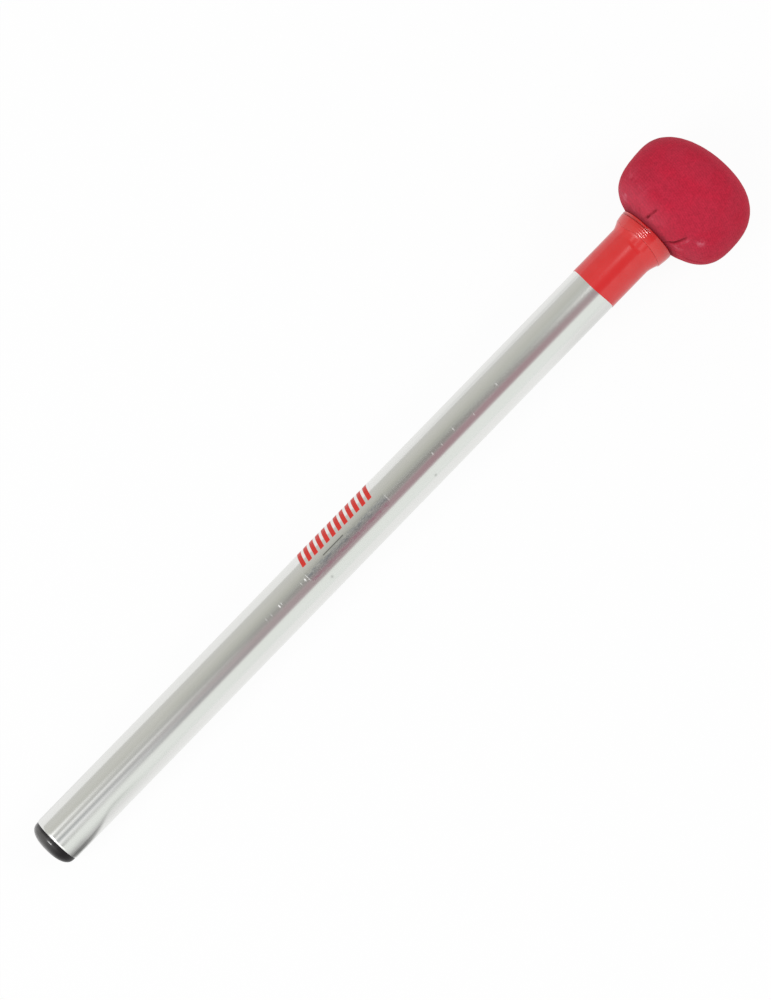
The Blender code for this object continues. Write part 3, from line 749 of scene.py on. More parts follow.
# The painted dent shade and shadow streak darken the metal's colour here.
marked = aluminium.blend(dent_shade * 0.85 + shadow_streak * 0.14, metal_colour, (0.06, 0.06, 0.057))
marked = aluminium.blend(specks * 0.45, marked, (0.25, 0.25, 0.24))
marked = aluminium.blend(aluminium.math("MINIMUM", nicks, 1.0), marked, (1.0, 1.0, 1.0))
aluminium.set(Base_Color=marked, Roughness=metal_roughness + nicks * 0.45 + dent_shade * 0.3)
aluminium.set(Normal=aluminium.raised(metal_lines + nicks * 3.0, 0.006 * MM))
print("marks put on the metal")

# %% The tube
TUBE_SEGMENTS = 192
TUBE_WALL = 1.6 * MM
EDGE = 0.5 * MM
LIP = 0.4 * MM
LIP_RADIUS = 2.5 * MM
LIP_TURN = 31.0
RING_SPACING = 4.0 * MM

lip_start = TUBE_START - LIP
lip_centre = (lip_start + LIP_RADIUS * math.sin(math.radians(LIP_TURN)), TUBE_RADIUS - LIP_RADIUS)
tube_outline = [(lip_start, TUBE_RADIUS - TUBE_WALL)] + arc(lip_centre, LIP_RADIUS, 90 + LIP_TURN, 90, 10)
ring_count = round(TUBE_END / RING_SPACING)
for ring in range(1, ring_count):
    tube_outline.append((TUBE_END * ring / ring_count, TUBE_RADIUS))
tube_outline += arc((TUBE_END - EDGE, TUBE_RADIUS - EDGE), EDGE, 90, 0, 5)
tube_outline.append((TUBE_END, TUBE_RADIUS - TUBE_WALL))
add_piece("tube", skin("tube", tube_outline, TUBE_SEGMENTS), aluminium, "tube_aluminium", "handle_tube")

# %% [markdown]
# ## The printed film
#
# A thin clear film is rolled on to the middle of the handle. It is a real sheet with rounded
# corners, so it is built as one: a grid that bends round the tube a few hundredths of a
# millimetre above it. The metal under it is rippled, and its colour carries painted reflections:
# a darker band along its top and dark and mauve rippled reflections, with a painted highlight
# along each end. The print on it is a plain band of slanting bars with a thin rule under it.

# %% The film's sheet
FILM_START = 150.5 * MM
FILM_END = 197.5 * MM
FILM_LOW = math.radians(-10.6)
FILM_HIGH = math.radians(118.0)
FILM_CORNER = 2.5 * MM
FILM_LIFT = 0.02 * MM
FILM_THICKNESS = 0.03 * MM
FILM_COLUMNS = 72
CORNER_STEPS = 8
MIDDLE_STEPS = 30


def film_sheet():
    """A bent sheet with rounded corners, as a grid of points on the tube."""
    corner = FILM_CORNER * (1 - np.cos(np.linspace(0, math.pi / 2, CORNER_STEPS + 1)))
    middle = np.linspace(FILM_CORNER, FILM_END - FILM_START - FILM_CORNER, MIDDLE_STEPS)[1:-1]
    rows = np.concatenate((corner, middle, (FILM_END - FILM_START - corner)[::-1]))
    from_end = np.minimum(rows, FILM_END - FILM_START - rows).clip(0, FILM_CORNER)
    cut_back = FILM_CORNER - np.sqrt(FILM_CORNER**2 - (FILM_CORNER - from_end) ** 2)
    radius = TUBE_RADIUS + FILM_LIFT + FILM_THICKNESS
    low = FILM_LOW + cut_back / radius
    high = FILM_HIGH - cut_back / radius
    share = np.concatenate(([0.0, 0.001], np.linspace(0, 1, FILM_COLUMNS - 1)[1:]))
    angle = low[:, None] + (high - low)[:, None] * share
    x = np.repeat((FILM_START + rows)[:, None], FILM_COLUMNS, axis=1)
    points = np.stack((x, radius * np.sin(angle), radius * np.cos(angle)), axis=-1)
    faces = []
    for row in range(len(rows) - 1):
        for column in range(FILM_COLUMNS - 1):
            here = row * FILM_COLUMNS + column
            faces.append((here, here + 1, here + FILM_COLUMNS + 1, here + FILM_COLUMNS))
    mesh = bpy.data.meshes.new("label_film")
    mesh.from_pydata(points.reshape(-1, 3).tolist(), [], faces)
    return tidy(mesh)


film_mesh = film_sheet()
print(f"film {(FILM_END - FILM_START) / MM:.0f} mm long and {FILM_THICKNESS / MM:.2f} mm thick")

# %% The film's look
DARK_REFLECTION_RIPPLE = (0.34, 0.36, 0.40)
MAUVE_REFLECTION_RIPPLE = (0.62, 0.40, 0.47)
FILM_FOOT = (17.0, 9.0)
FILM_END_HIGHLIGHT = 0.3 * MM

film, film_place, film_colour, film_roughness, film_lines = drawn_aluminium("filmed_aluminium")
film_x = film.parts(film_place)[0]
film_angle = film.degrees_round(film_place)
ripples = film.grain(film_place * (0.35, 1.0, 1.0), 0.9 * MM, detail=2.0, distortion=0.8)
film_foot = film.between(film_angle, *FILM_FOOT)
# Painted reflections: dark ripples, mauve ripples and a darker band along the top of the film.
dark_reflection_ripples = film.between(ripples, 0.35, 0.65) * film.hump(film_angle, 7.0, 7.0)
mauve_reflection_ripples = (0.45 + film.between(ripples, 0.62, 0.40) * 0.55) * film.hump(film_angle, -6.0, 5.5)
film_colour = film_colour * (1.0 - film.hump(film_angle, 1.0, 11.0) * 0.26)
film_colour = film.blend(dark_reflection_ripples * 0.75, film_colour, DARK_REFLECTION_RIPPLE)
film_colour = film.blend(mauve_reflection_ripples * 0.85, film_colour, MAUVE_REFLECTION_RIPPLE)
# Painted highlight: a white line along each end of the film, as its edge catches the light.
ends = film.hump(film_x, FILM_START + 0.1 * MM, FILM_END_HIGHLIGHT)
ends = ends + film.hump(film_x, FILM_END - 0.1 * MM, FILM_END_HIGHLIGHT)
film_colour = film.blend(ends * film.between(film_angle, 17.0, 11.0), film_colour, (1.0, 1.0, 1.0))
print("film's ripples and end lines mixed")

# %% The bars and the rule on the film
BAND_START = 152.0 * MM
BAND_END = 195.6 * MM
BAND_LOW = 30.0
BAND_HIGH = 86.0
BAR_COUNT = 12
BAR_SHARE = 0.6
BAR_SLANT = 0.045 * MM
BAR_BLUR = 0.05
EDGE_BLUR = 0.7
RULE_START = 161.8 * MM
RULE_END = 173.4 * MM
RULE_ANGLE = 16.7
RULE_WIDTH = 1.2
RULE_BLUR = 0.2 * MM
PRINT_RED = (0.58, 0.030, 0.022)
PRINT_BLACK = (0.06, 0.06, 0.06)

slant_total = (BAND_HIGH - BAND_LOW) * BAR_SLANT
bar_pitch = (BAND_END - BAND_START - slant_total) / (BAR_COUNT - 1 + BAR_SHARE)
along_band = (film_x - (film_angle - BAND_LOW) * BAR_SLANT - BAND_START) / bar_pitch
in_bar = film.math("FRACT", along_band + 1.0)
band_sides = (BAND_LOW - EDGE_BLUR, BAND_LOW + EDGE_BLUR, BAND_HIGH - EDGE_BLUR, BAND_HIGH + EDGE_BLUR)
ink = film.within(in_bar, 0.0, BAR_BLUR, BAR_SHARE, BAR_SHARE + BAR_BLUR)
ink = ink * film.within(along_band, -BAR_BLUR, 0.0, BAR_COUNT, BAR_COUNT + BAR_BLUR)
ink = ink * film.within(film_angle, *band_sides)
rule = film.within(film_x, RULE_START - RULE_BLUR, RULE_START, RULE_END, RULE_END + RULE_BLUR)
rule = rule * film.hump(film_angle, RULE_ANGLE, RULE_WIDTH)
film_colour = film.blend(ink, film_colour, PRINT_RED)
film_colour = film.blend(rule * 0.8, film_colour, PRINT_BLACK)
film.set(Base_Color=film_colour, Metallic=1.0 - ink, Roughness=film_roughness + film_foot * 0.08 + ink * 0.2)
film.set(Normal=film.raised(film_lines + ripples * film_foot * 8.0, 0.006 * MM))
film.set(Coat_Weight=0.2 - ink * 0.2, Coat_Roughness=0.06, Specular_IOR_Level=0.2)
print(f"{BAR_COUNT} bars, {bar_pitch / MM:.2f} mm apart")

# %% Roll the film on
label_film = add_piece("label_film", film_mesh, film, "tube_aluminium")
film_body = label_film.modifiers.new("thickness", "SOLIDIFY")
film_body.thickness = FILM_THICKNESS
film_body.offset = -1.0

# %% [markdown]
# ## The plug in the butt
#
# The plug is moulded in black plastic: a low dome over a thin rim, and a ribbed stem that grips
# the bore. Its dome is a superellipse, flatter than a ball and rounder than a disc. Moulded
# plastic of this kind is nearly matt, with a faint pebble grain. One side of the dome has more
# coat and so more gloss, and that side is painted lighter, as light falling on it would make it.

# %% The butt plug
CAP_DOME_FULLNESS = 2.5
CAP_DOME_STEPS = 24
DOME_CROWN = 0.2 * MM
CAP_SEGMENTS = 128
CAP_RIM = 0.35 * MM
CAP_GAP = 0.05 * MM
STEM_RADIUS = 7.95 * MM
STEM_WALL = 1.6 * MM
FIN_RADIUS = 9.35 * MM
FIN_THICKNESS = 1.1 * MM
FIN_PITCH = 4.0 * MM
FIN_COUNT = 4
LIT_SIDE_REACH = (-5 * MM, 9 * MM)
LIT_SIDE_RIM_FADE = (-0.9 * MM, -2.1 * MM)
POLISHED_SIDE = (-6 * MM, 1.5 * MM)

black = Finish("black_plastic", Specular_IOR_Level=0.06, Coat_IOR=1.5, Coat_Roughness=0.15)
pebbles = black.grain(black.place(), 0.5 * MM, detail=2.0)
scuffs = black.grain(black.place(), 4.0 * MM, detail=4.0, roughness=0.6)
black_colour = black.blend(scuffs, (0.009, 0.008, 0.009), (0.017, 0.015, 0.016))
plug_x, plug_y, _ = black.parts(black.place())
# Painted light: the dome is painted lighter on one side, fading out towards the rim.
painted_lit_side = black.between(plug_y, *LIT_SIDE_REACH) * (0.5 + scuffs) * black.between(plug_x, *LIT_SIDE_RIM_FADE)
black.set(Base_Color=black.blend(painted_lit_side * 0.6, black_colour, (0.115, 0.112, 0.107)))
polished = black.between(plug_y, *POLISHED_SIDE) * (0.5 + scuffs * 0.3)
black.set(Roughness=0.30 + scuffs * 0.10, Coat_Weight=0.12 + polished)
black.set(Normal=black.raised(pebbles, 0.012 * MM))

rim_end = lip_start - CAP_GAP
rim_start = rim_end - CAP_RIM
dome_tip = CAP_TIP - DOME_CROWN
dome_height = rim_start - dome_tip
cap_outline = []
for step in range(CAP_DOME_STEPS + 1):
    angle = math.pi / 2 * (1 - step / CAP_DOME_STEPS)
    rise = math.sin(angle) ** (2 / CAP_DOME_FULLNESS)
    spread = max(0.0, math.cos(angle)) ** (2 / CAP_DOME_FULLNESS)
    cap_outline.append((rim_start - dome_height * rise, CAP_RADIUS * spread))
cap_outline[0] = (dome_tip, 0.0)
cap_outline += [(rim_end, CAP_RADIUS), (rim_end, STEM_RADIUS)]
for fin in range(FIN_COUNT):
    fin_start = FIN_PITCH * (fin + 1) - FIN_THICKNESS
    cap_outline += [(fin_start, STEM_RADIUS), (fin_start, FIN_RADIUS)]
    cap_outline += [(fin_start + FIN_THICKNESS / 2, FIN_RADIUS), (fin_start + FIN_THICKNESS, STEM_RADIUS)]
cap_outline += [(CAP_STEM_END, STEM_RADIUS), (CAP_STEM_END, STEM_RADIUS - STEM_WALL)]
cap_outline += [(0.0, STEM_RADIUS - STEM_WALL), (0.0, 0.0)]
cap_skin = skin("plug", cap_outline, CAP_SEGMENTS, closed=False)
add_piece("plug", cap_skin, black, "cap_plastic", "butt_cap")

# %% [markdown]
# ## The red tape
#
# Vinyl tape is stretched as it is wound, so it is glossy, hugs what is under it and wrinkles
# where the neck widens. The colour is a bright red, and the gloss is a clear coat over it.

# %% The vinyl finish
VINYL_DARK = (0.60, 0.013, 0.014)
VINYL_LIGHT = (0.64, 0.017, 0.018)
STRETCH_SPACING = 1.1 * MM
DULL_SPACING = 5.0 * MM


def red_vinyl(name):
    """The tape's finish, with its place and its colour before any wear."""
    tape = Finish(name, Specular_IOR_Level=0.0, Coat_Roughness=0.10, Coat_IOR=1.7)
    place = tape.place()
    stretch_marks = tape.grain(place * (0.25, 1.0, 1.0), STRETCH_SPACING, detail=3.0)
    dull_spots = tape.grain(place, DULL_SPACING, detail=3.0)
    colour = tape.blend(dull_spots, VINYL_DARK, VINYL_LIGHT)
    tape.set(Base_Color=colour, Roughness=0.30 + dull_spots * 0.15, Coat_Weight=0.7 + dull_spots * 0.3)
    tape.set(Normal=tape.raised(stretch_marks, 0.02 * MM))
    return tape, place, colour


vinyl, _, _ = red_vinyl("red_vinyl")
print("vinyl mixed")

# %% The sleeve and its flare
TAPE = 0.15 * MM
SLEEVE_SEGMENTS = 192
SLEEVE_RINGS = 30
FLARE_RINGS = 18
FLARE_RADIUS = 12.74 * MM
SHORT_FLARE = 3.6 * MM
LONG_FLARE = 6.5 * MM
FLARE_CURVE = 1.55
START_REACH = 5.0 * MM
START_BOW = 1.4 * MM
START_SKEW = 0.3 * MM
START_SHIFT = 0.5 * MM
NEAR_SAG = 1.3 * MM
NEAR_SAG_ANGLE = 45.0
NEAR_SAG_WIDTH = 22.0
NEAR_LIFT = 0.35 * MM
FAR_SAG = 1.2 * MM
SEAM = 0.05 * MM

sleeve_bore = TUBE_RADIUS + 0.03 * MM
flare_rise = FLARE_RADIUS - TAPE - sleeve_bore


def degrees_turned(angle):
    """An angle round the axis in degrees, from -180 to 180."""
    return np.degrees(np.angle(np.exp(1j * angle)))


def foot_sag(angle):
    """How far the collar's lower edge hangs down the handle, by the angle round it."""
    side = np.sin(angle)
    slump = bell((degrees_turned(angle) - NEAR_SAG_ANGLE) / NEAR_SAG_WIDTH)
    return np.where(side > 0, NEAR_SAG * slump - NEAR_LIFT * side**4, FAR_SAG * side**2)


def sleeve_line(offset):
    """The sleeve's rings from its start to its end, at one height over the tube."""
    xs = np.linspace(SLEEVE_START, SLEEVE_END - LONG_FLARE, SLEEVE_RINGS, endpoint=False)
    xs = np.append(xs, np.linspace(SLEEVE_END - LONG_FLARE, COLLAR_START - SEAM, FLARE_RINGS + 1))
    return [(x, sleeve_bore + offset) for x in xs]


def shape_sleeve(x, radius, angle):
    """A nearly flat start and a flare that is short on one side and long on the other."""
    near_start = np.clip(1 - (x - SLEEVE_START) / START_REACH, 0, 1)
    near_end = np.clip(1 - (COLLAR_START - x) / LONG_FLARE, 0, 1)
    side = np.sin(angle)
    reach = LONG_FLARE + (SHORT_FLARE - LONG_FLARE) * (0.5 + 0.5 * side)
    climb = np.clip((x - SLEEVE_END + reach) / reach, 0, 1)
    start_line = START_BOW * side**2 - START_SKEW * side - START_SHIFT
    return x + near_start * start_line - near_end * foot_sag(angle), radius + flare_rise * climb**FLARE_CURVE


sleeve_outline = sleeve_line(0.0)[::-1] + sleeve_line(TAPE)
sleeve_skin = skin("sleeve", sleeve_outline, SLEEVE_SEGMENTS, shape_sleeve)
add_piece("sleeve", sleeve_skin, vinyl, "red_tape", "neck_tape")

# %% [markdown]
# ## The collar
#
# The last turns of tape lie on one another as a thick collar. Its lower edge sags where the tape
# slumped, fine ridges cross its top where it was pulled tight, and near the head the last turn
# has crept back into a groove. A thin dark line of painted shadow lies in that groove, and on one
# side a paler strip beside it is partly stretched tape and partly a painted highlight on the lifted edge.

# %% The collar
COLLAR_SEGMENTS = 384
COLLAR_RINGS = 64
COLLAR_BORE = 12.75 * MM
COLLAR_FOOT_RADIUS = 13.0 * MM
COLLAR_TOP_RADIUS = 13.6 * MM
COLLAR_SLIP = 0.15 * MM
COLLAR_ROUND = 0.24 * MM
COLLAR_LIP = 0.4 * MM
RIDGE_HEIGHT = 0.10 * MM
RIDGE_RATE = 6.2 / MM
RIDGE_SLANT = 7.0
RIDGE_ANGLE = 8.0
RIDGE_SPREAD = 12.0
RIDGE_PLACE = COLLAR_START + 2.9 * MM
RIDGE_REACH = 2.9 * MM
CREEP_PLACE = COLLAR_END - 1.25 * MM
CREEP_WIDTH = 0.28 * MM
CREEP_DEPTH = 0.26 * MM
CREEP_SIDES = (-14.0, 6.0, 90.0, 115.0)

foot = arc((COLLAR_START + COLLAR_ROUND, COLLAR_FOOT_RADIUS - COLLAR_ROUND), COLLAR_ROUND, 180, 95, 5)
lip = arc((COLLAR_END - COLLAR_LIP, COLLAR_TOP_RADIUS - COLLAR_LIP), COLLAR_LIP, 85, 0, 6)
side = []
for ring in range(1, COLLAR_RINGS):
    share = ring / COLLAR_RINGS
    first, last = foot[-1], lip[0]
    swell = (last[1] - first[1]) * math.sin(share * math.pi / 2)
    side.append((first[0] + (last[0] - first[0]) * share, first[1] + swell))
collar_outline = [(COLLAR_START, COLLAR_BORE)] + foot + side + lip + [(COLLAR_END, COLLAR_BORE)]


def shape_collar(x, radius, angle):
    """The sagging foot, the pulled ridges on the top and the line of the last turn."""
    outside = radius > COLLAR_BORE + 0.01 * MM
    turned = degrees_turned(angle)
    pulled = bell((turned - RIDGE_ANGLE) / RIDGE_SPREAD, 4) * bell((x - RIDGE_PLACE) / RIDGE_REACH, 4)
    ridges = np.cos(RIDGE_RATE * x - RIDGE_SLANT * np.radians(turned))
    crept_side = np.interp(turned, CREEP_SIDES, (0, 1, 1, 0))
    creep = CREEP_DEPTH * bell((x - CREEP_PLACE) / CREEP_WIDTH) * crept_side
    near_foot = np.clip((COLLAR_END - x) / (COLLAR_END - COLLAR_START), 0, 1) ** 1.5
    moved = x - near_foot * foot_sag(angle)
    return moved, radius + outside * (RIDGE_HEIGHT * pulled * ridges - creep - COLLAR_SLIP * np.sin(angle))


print("collar drawn")

# %% The collar's vinyl and its skin
PALE_FROM = CREEP_PLACE + 0.1 * MM
PALE_TO = CREEP_PLACE + 0.5 * MM
PALE_SIDES = (42.0, 75.0, 100.0, 130.0)
GROOVE_SHADOW_WIDTH = 0.34 * MM
GROOVE_SHADOW_SIDES = (-12.0, 6.0, 90.0, 115.0)
FOOT_FADE = (COLLAR_START + 3.0 * MM, COLLAR_START + 0.5 * MM)

crept_vinyl, crept_place, crept_colour = red_vinyl("crept_vinyl")
crept_x = crept_vinyl.parts(crept_place)[0]
crept_angle = crept_vinyl.degrees_round(crept_place)
# A paler strip beside the crept turn: stretched tape, with a painted highlight where its lifted edge catches
# the light.
pale = crept_vinyl.between(crept_x, PALE_FROM, PALE_TO) * crept_vinyl.within(crept_angle, *PALE_SIDES)
# Painted shadow: a dark line in the groove where the last turn crept back.
groove_shadow_line = crept_vinyl.hump(crept_x, CREEP_PLACE, GROOVE_SHADOW_WIDTH)
groove_shadow_line = groove_shadow_line * crept_vinyl.within(crept_angle, *GROOVE_SHADOW_SIDES)
near_foot = crept_vinyl.between(crept_x, *FOOT_FADE)
crept_colour = crept_vinyl.blend(near_foot * 0.09, crept_colour, (0.68, 0.20, 0.19))
crept_colour = crept_vinyl.blend(pale * 0.45, crept_colour, (0.62, 0.26, 0.26))
crept_vinyl.set(Base_Color=crept_vinyl.blend(groove_shadow_line * 0.8, crept_colour, (0.28, 0.004, 0.006)))
collar_skin = skin("collar", collar_outline, COLLAR_SEGMENTS, shape_collar)
add_piece("collar", collar_skin, crept_vinyl, "red_tape", "collar_tape")

# %% [markdown]
# ## The cloth head
#
# The cover is a bag of napped cloth pulled over the padding, gathered at the neck and tied. Its
# form is two half superellipses about the widest ring. The bag is first cut a little too small
# and with pleats at the neck. A cloth simulation then blows it tight, as the padding does, while
# its neck is held where the twine ties it. The simulation runs on a bag twenty times too big,
# because the solver is at home with pieces the size of a cushion.

# %% The bag before it is filled
LOWER_FULLNESS = 3.2
UPPER_FULLNESS = 2.35
LOWER_HEIGHT = 22.2 * MM
UPPER_HEIGHT = 19.7 * MM
HEAD_MIDDLE = HEAD_CROWN - 20.4 * MM
HEAD_BASE = HEAD_MIDDLE - LOWER_HEIGHT
NECK_ROUND = 1.2 * MM
TAIL_RADIUS = 11.85 * MM
TAIL_RINGS = 5
BAG_SEGMENTS = 96
BAG_RINGS = 40
BAG_SHORT = 0.05 * MM
PLEATS = ((7, 0.9), (11, 2.3), (16, 4.1), (23, 5.2))
PLEAT_DEPTH = 0.16 * MM
PLEAT_REACH = 6.0 * MM
neck_radius = TAIL_RADIUS + NECK_ROUND


def head_point(angle, short=0.0):
    """The head's outline at an angle from its middle, from the axis outwards."""
    height, fullness = (UPPER_HEIGHT, UPPER_FULLNESS) if angle > 0 else (LOWER_HEIGHT, LOWER_FULLNESS)
    outward = max(0.0, math.cos(angle)) / (HEAD_RADIUS - short)
    onward = abs(math.sin(angle)) / (height - short)
    reach = (outward**fullness + onward**fullness) ** (-1 / fullness)
    return HEAD_MIDDLE + reach * math.sin(angle), reach * max(0.0, math.cos(angle))


def bag_outline(rings, short=0.0):
    """The bag from the end of its tail, up the neck and over the head to the crown."""
    share = neck_radius / (HEAD_RADIUS - short)
    first_drop = (LOWER_HEIGHT - short) * (1 - share**LOWER_FULLNESS) ** (1 / LOWER_FULLNESS)
    first_angle = math.atan2(-first_drop, neck_radius)
    neck = arc((HEAD_MIDDLE - first_drop - NECK_ROUND, neck_radius), -NECK_ROUND, 90, 0, 5)[:-1]
    tail_ends = np.linspace(COVER_START, neck[0][0], TAIL_RINGS, endpoint=False)
    outline = [(x, TAIL_RADIUS) for x in tail_ends] + neck
    for step in range(rings + 1):
        outline.append(head_point(first_angle + (math.pi / 2 - first_angle) * step / rings, short))
    outline[-1] = (HEAD_MIDDLE + UPPER_HEIGHT - short, 0.0)
    return outline


def pleated(x, radius, angle):
    """Uneven pleats that die away a few millimetres from the neck."""
    waves = sum(np.cos(count * angle + phase) for count, phase in PLEATS)
    from_neck = np.hypot(np.maximum(x - HEAD_BASE, 0), np.maximum(radius - neck_radius, 0))
    tied = (x > HEAD_BASE - NECK_ROUND) * bell(from_neck / PLEAT_REACH)
    on_head = np.clip((radius - TAIL_RADIUS) / NECK_ROUND, 0, 1)
    return x + PLEAT_DEPTH * waves * tied * on_head, radius


bag = skin("bag", bag_outline(BAG_RINGS, BAG_SHORT), BAG_SEGMENTS, pleated, closed=False)
print(f"bag cut with {len(bag.vertices)} corners")

# %% Blow the bag tight
SIM_SCALE = 20.0
SIM_FRAMES = 20
BAG_PRESSURE = 4.0
MOVE_LIMIT = 0.8 * MM
HELD_RADIUS = neck_radius + 0.6 * MM


def points_of(mesh):
    """A mesh's points as rows of x, y and z."""
    points = np.empty(len(mesh.vertices) * 3)
    mesh.vertices.foreach_get("co", points)
    return points.reshape(-1, 3)


def move_points(mesh, points):
    """Puts the points of a mesh where the rows say."""
    mesh.vertices.foreach_set("co", np.asarray(points, dtype=float).ravel())
    mesh.update()


def with_modifiers(thing):
    """A new mesh of what an object's modifiers make of it."""
    return bpy.data.meshes.new_from_object(thing.evaluated_get(bpy.context.evaluated_depsgraph_get()))


def blown(mesh):
    """The bag's points after the cloth solver has filled it, each moved no further than the limit."""
    start = points_of(mesh)
    big = mesh.copy()
    move_points(big, (start - (HEAD_MIDDLE, 0.0, 0.0)) * SIM_SCALE)
    balloon = bpy.data.objects.new("balloon", big)
    bpy.context.scene.collection.objects.link(balloon)
    held = balloon.vertex_groups.new(name="held")
    tied = (start[:, 0] < HEAD_MIDDLE) & (np.hypot(start[:, 1], start[:, 2]) < HELD_RADIUS)
    held.add(np.flatnonzero(tied).tolist(), 1.0, "REPLACE")
    cloth = balloon.modifiers.new("cloth", "CLOTH")
    cloth.settings.quality = 8
    cloth.settings.mass = 0.05
    cloth.settings.tension_stiffness = 8.0
    cloth.settings.compression_stiffness = 8.0
    cloth.settings.shear_stiffness = 2.0
    cloth.settings.bending_stiffness = 0.5
    cloth.settings.air_damping = 8.0
    cloth.settings.use_pressure = True
    cloth.settings.uniform_pressure_force = BAG_PRESSURE
    cloth.settings.vertex_group_mass = "held"
    cloth.settings.effector_weights.gravity = 0.0
    cloth.point_cache.frame_start = 1
    cloth.point_cache.frame_end = SIM_FRAMES
    for frame_number in range(1, SIM_FRAMES + 1):
        bpy.context.scene.frame_set(frame_number)
    filled = with_modifiers(balloon)
    moved = points_of(filled) / SIM_SCALE + (HEAD_MIDDLE, 0.0, 0.0) - start
    bpy.context.scene.frame_set(1)
    bpy.data.objects.remove(balloon)
    length = np.linalg.norm(moved, axis=1, keepdims=True)
    print(f"cloth moved {length.mean() / MM:.2f} mm on average and {length.max() / MM:.2f} mm at most")
    return start + moved * np.minimum(1.0, MOVE_LIMIT / np.maximum(length, 1e-9))


move_points(bag, blown(bag))

# %% [markdown]
# Two rounds of subdivision make the bag fine enough for creases. They are pressed in afterwards,
# each a bent line on the cloth with a depth and a width: a long deep one and a shorter one that
# face the camera, a soft fold to one side, and plain gathers round the rest of the neck. Last, the
# whole head leans a little to one side, as a hand-filled one does, and settles on the table.

# %% Where the creases lie
# Each crease has its bends as (angle, radius), then its depth and its width, in degrees and
# millimetres.
CREASES = (
    (((-38.0, 13.6), (-35.2, 18.7), (-28.8, 24.9)), 1.70, 0.58),
    (((18.0, 15.2), (12.2, 24.2)), 1.45, 0.56),
    (((-75.8, 18.1), (-81.0, 25.2)), 0.70, 0.80),
    (((32.0, 14.6), (33.0, 19.3)), 0.35, 0.55),
    (((40.5, 14.6), (39.8, 17.2)), 0.35, 0.50),
    (((-4.0, 14.6), (-6.0, 19.0)), 0.25, 0.60),
    (((88.0, 14.2), (95.0, 24.0)), 0.50, 0.60),
    (((121.0, 14.2), (118.0, 21.6)), 0.60, 0.55),
    (((149.0, 14.2), (157.0, 24.9)), 0.75, 0.55),
    (((183.0, 14.2), (181.0, 20.3)), 0.45, 0.50),
    (((206.0, 14.2), (213.0, 24.2)), 0.70, 0.60),
    (((240.0, 14.2), (236.0, 22.0)), 0.50, 0.55),
)


def on_head(x, degrees, radius):
    """A point near the head from its x over the middle in millimetres, its angle and its radius."""
    angle = math.radians(degrees)
    return np.array((HEAD_MIDDLE + x * MM, radius * MM * math.sin(angle), radius * MM * math.cos(angle)))


def under_head(degrees, radius):
    """A point on the head's underside from its angle and its radius in millimetres."""
    share = (radius * MM / HEAD_RADIUS) ** LOWER_FULLNESS
    drop = LOWER_HEIGHT * (1 - share) ** (1 / LOWER_FULLNESS)
    return on_head(-drop / MM, degrees, radius)


print(f"{len(CREASES)} creases drawn on the underside")

# %% How a crease presses the cloth
SHOULDER_PLACE = 2.2
SHOULDER_WIDTH = 1.1
SHOULDER_HEIGHT = 0.22
SHADE_WIDTH = 0.8


def away_from_line(points, line):
    """The distance of every point from a bent line, and how far along the line its nearest place is."""
    knots = [under_head(*knot) for knot in line]
    nearest = np.full(len(points), np.inf)
    along = np.zeros(len(points))
    for count, (first, last) in enumerate(zip(knots, knots[1:])):
        run = last - first
        share = np.clip((points - first) @ run / (run @ run), 0, 1)
        away = np.linalg.norm(points - first - share[:, None] * run, axis=1)
        closer = away < nearest
        nearest[closer] = away[closer]
        along[closer] = (count + share[closer]) / (len(knots) - 1)
    return nearest, along


def crease_marks(points, below=0.0):
    """How deep the cloth is pressed in at every point, and how dark its crease is, from 0 to 1.

    A layer that lies below the cloth is pressed in a little wider, so that it never comes through."""
    depth = np.zeros(len(points))
    shade = np.zeros(len(points))
    for line, deep, wide in CREASES:
        away, along = away_from_line(points, line)
        away = np.maximum(away - below, 0)
        strength = (1 - along) ** 0.5 * np.minimum(1.0, 0.30 + 4 * along) * deep
        valley = bell(away / (wide * MM))
        shoulders = bell((away / MM - SHOULDER_PLACE * wide) / (SHOULDER_WIDTH * wide))
        depth += strength * (valley - (0.0 if below else SHOULDER_HEIGHT) * shoulders) * MM
        shade = np.maximum(shade, strength * bell(away / (SHADE_WIDTH * wide * MM)))
    return depth, shade


print(f"each crease has shoulders {SHOULDER_HEIGHT} times as high as it is deep")

# %% Lean the head and set it down
# The lean is in millimetres: its four numbers weigh 1, v, v squared and v cubed, where v is the
# place over the head's middle in steps of LEAN_UNIT.
LEAN = (1.64, -0.73, 0.49, 2.56)
LEAN_UNIT = 20 * MM
FLAT_SOFTNESS = 0.4 * MM


def sideways_lean(x):
    """How far the head has slipped towards -y at each x."""
    v = (x - HEAD_MIDDLE) / LEAN_UNIT
    slip = sum(weight * v**power for power, weight in enumerate(LEAN))
    return np.where(x > HEAD_BASE + 0.4 * MM, np.maximum(slip, 0.0), 0.0) * MM


def settled(points, sink=0.0):
    """Presses in the creases, leans the head and sets it down on the table, sink above it."""
    depth, _ = crease_marks(points, sink)
    inward = (HEAD_MIDDLE, 0.0, 0.0) - points
    inward /= np.linalg.norm(inward, axis=1, keepdims=True)
    points = points + inward * depth[:, None]
    points[:, 1] -= sideways_lean(points[:, 0])
    turned = np.array(MALLET.to_3x3())
    world = points @ turned.T + np.array(butt_end)
    low = world[:, 2] - sink
    world[:, 2] = sink + 0.5 * (low + np.sqrt(low**2 + FLAT_SOFTNESS**2))
    return (world - np.array(butt_end)) @ turned


bag_piece = bpy.data.objects.new("bag", bag)
bpy.context.scene.collection.objects.link(bag_piece)
finer = bag_piece.modifiers.new("finer", "SUBSURF")
finer.levels = 2
cover = with_modifiers(bag_piece)
bpy.data.objects.remove(bag_piece)
plain_points = points_of(cover)
move_points(cover, settled(plain_points))
print(f"head cover of {len(cover.vertices)} points with {len(CREASES)} creases")

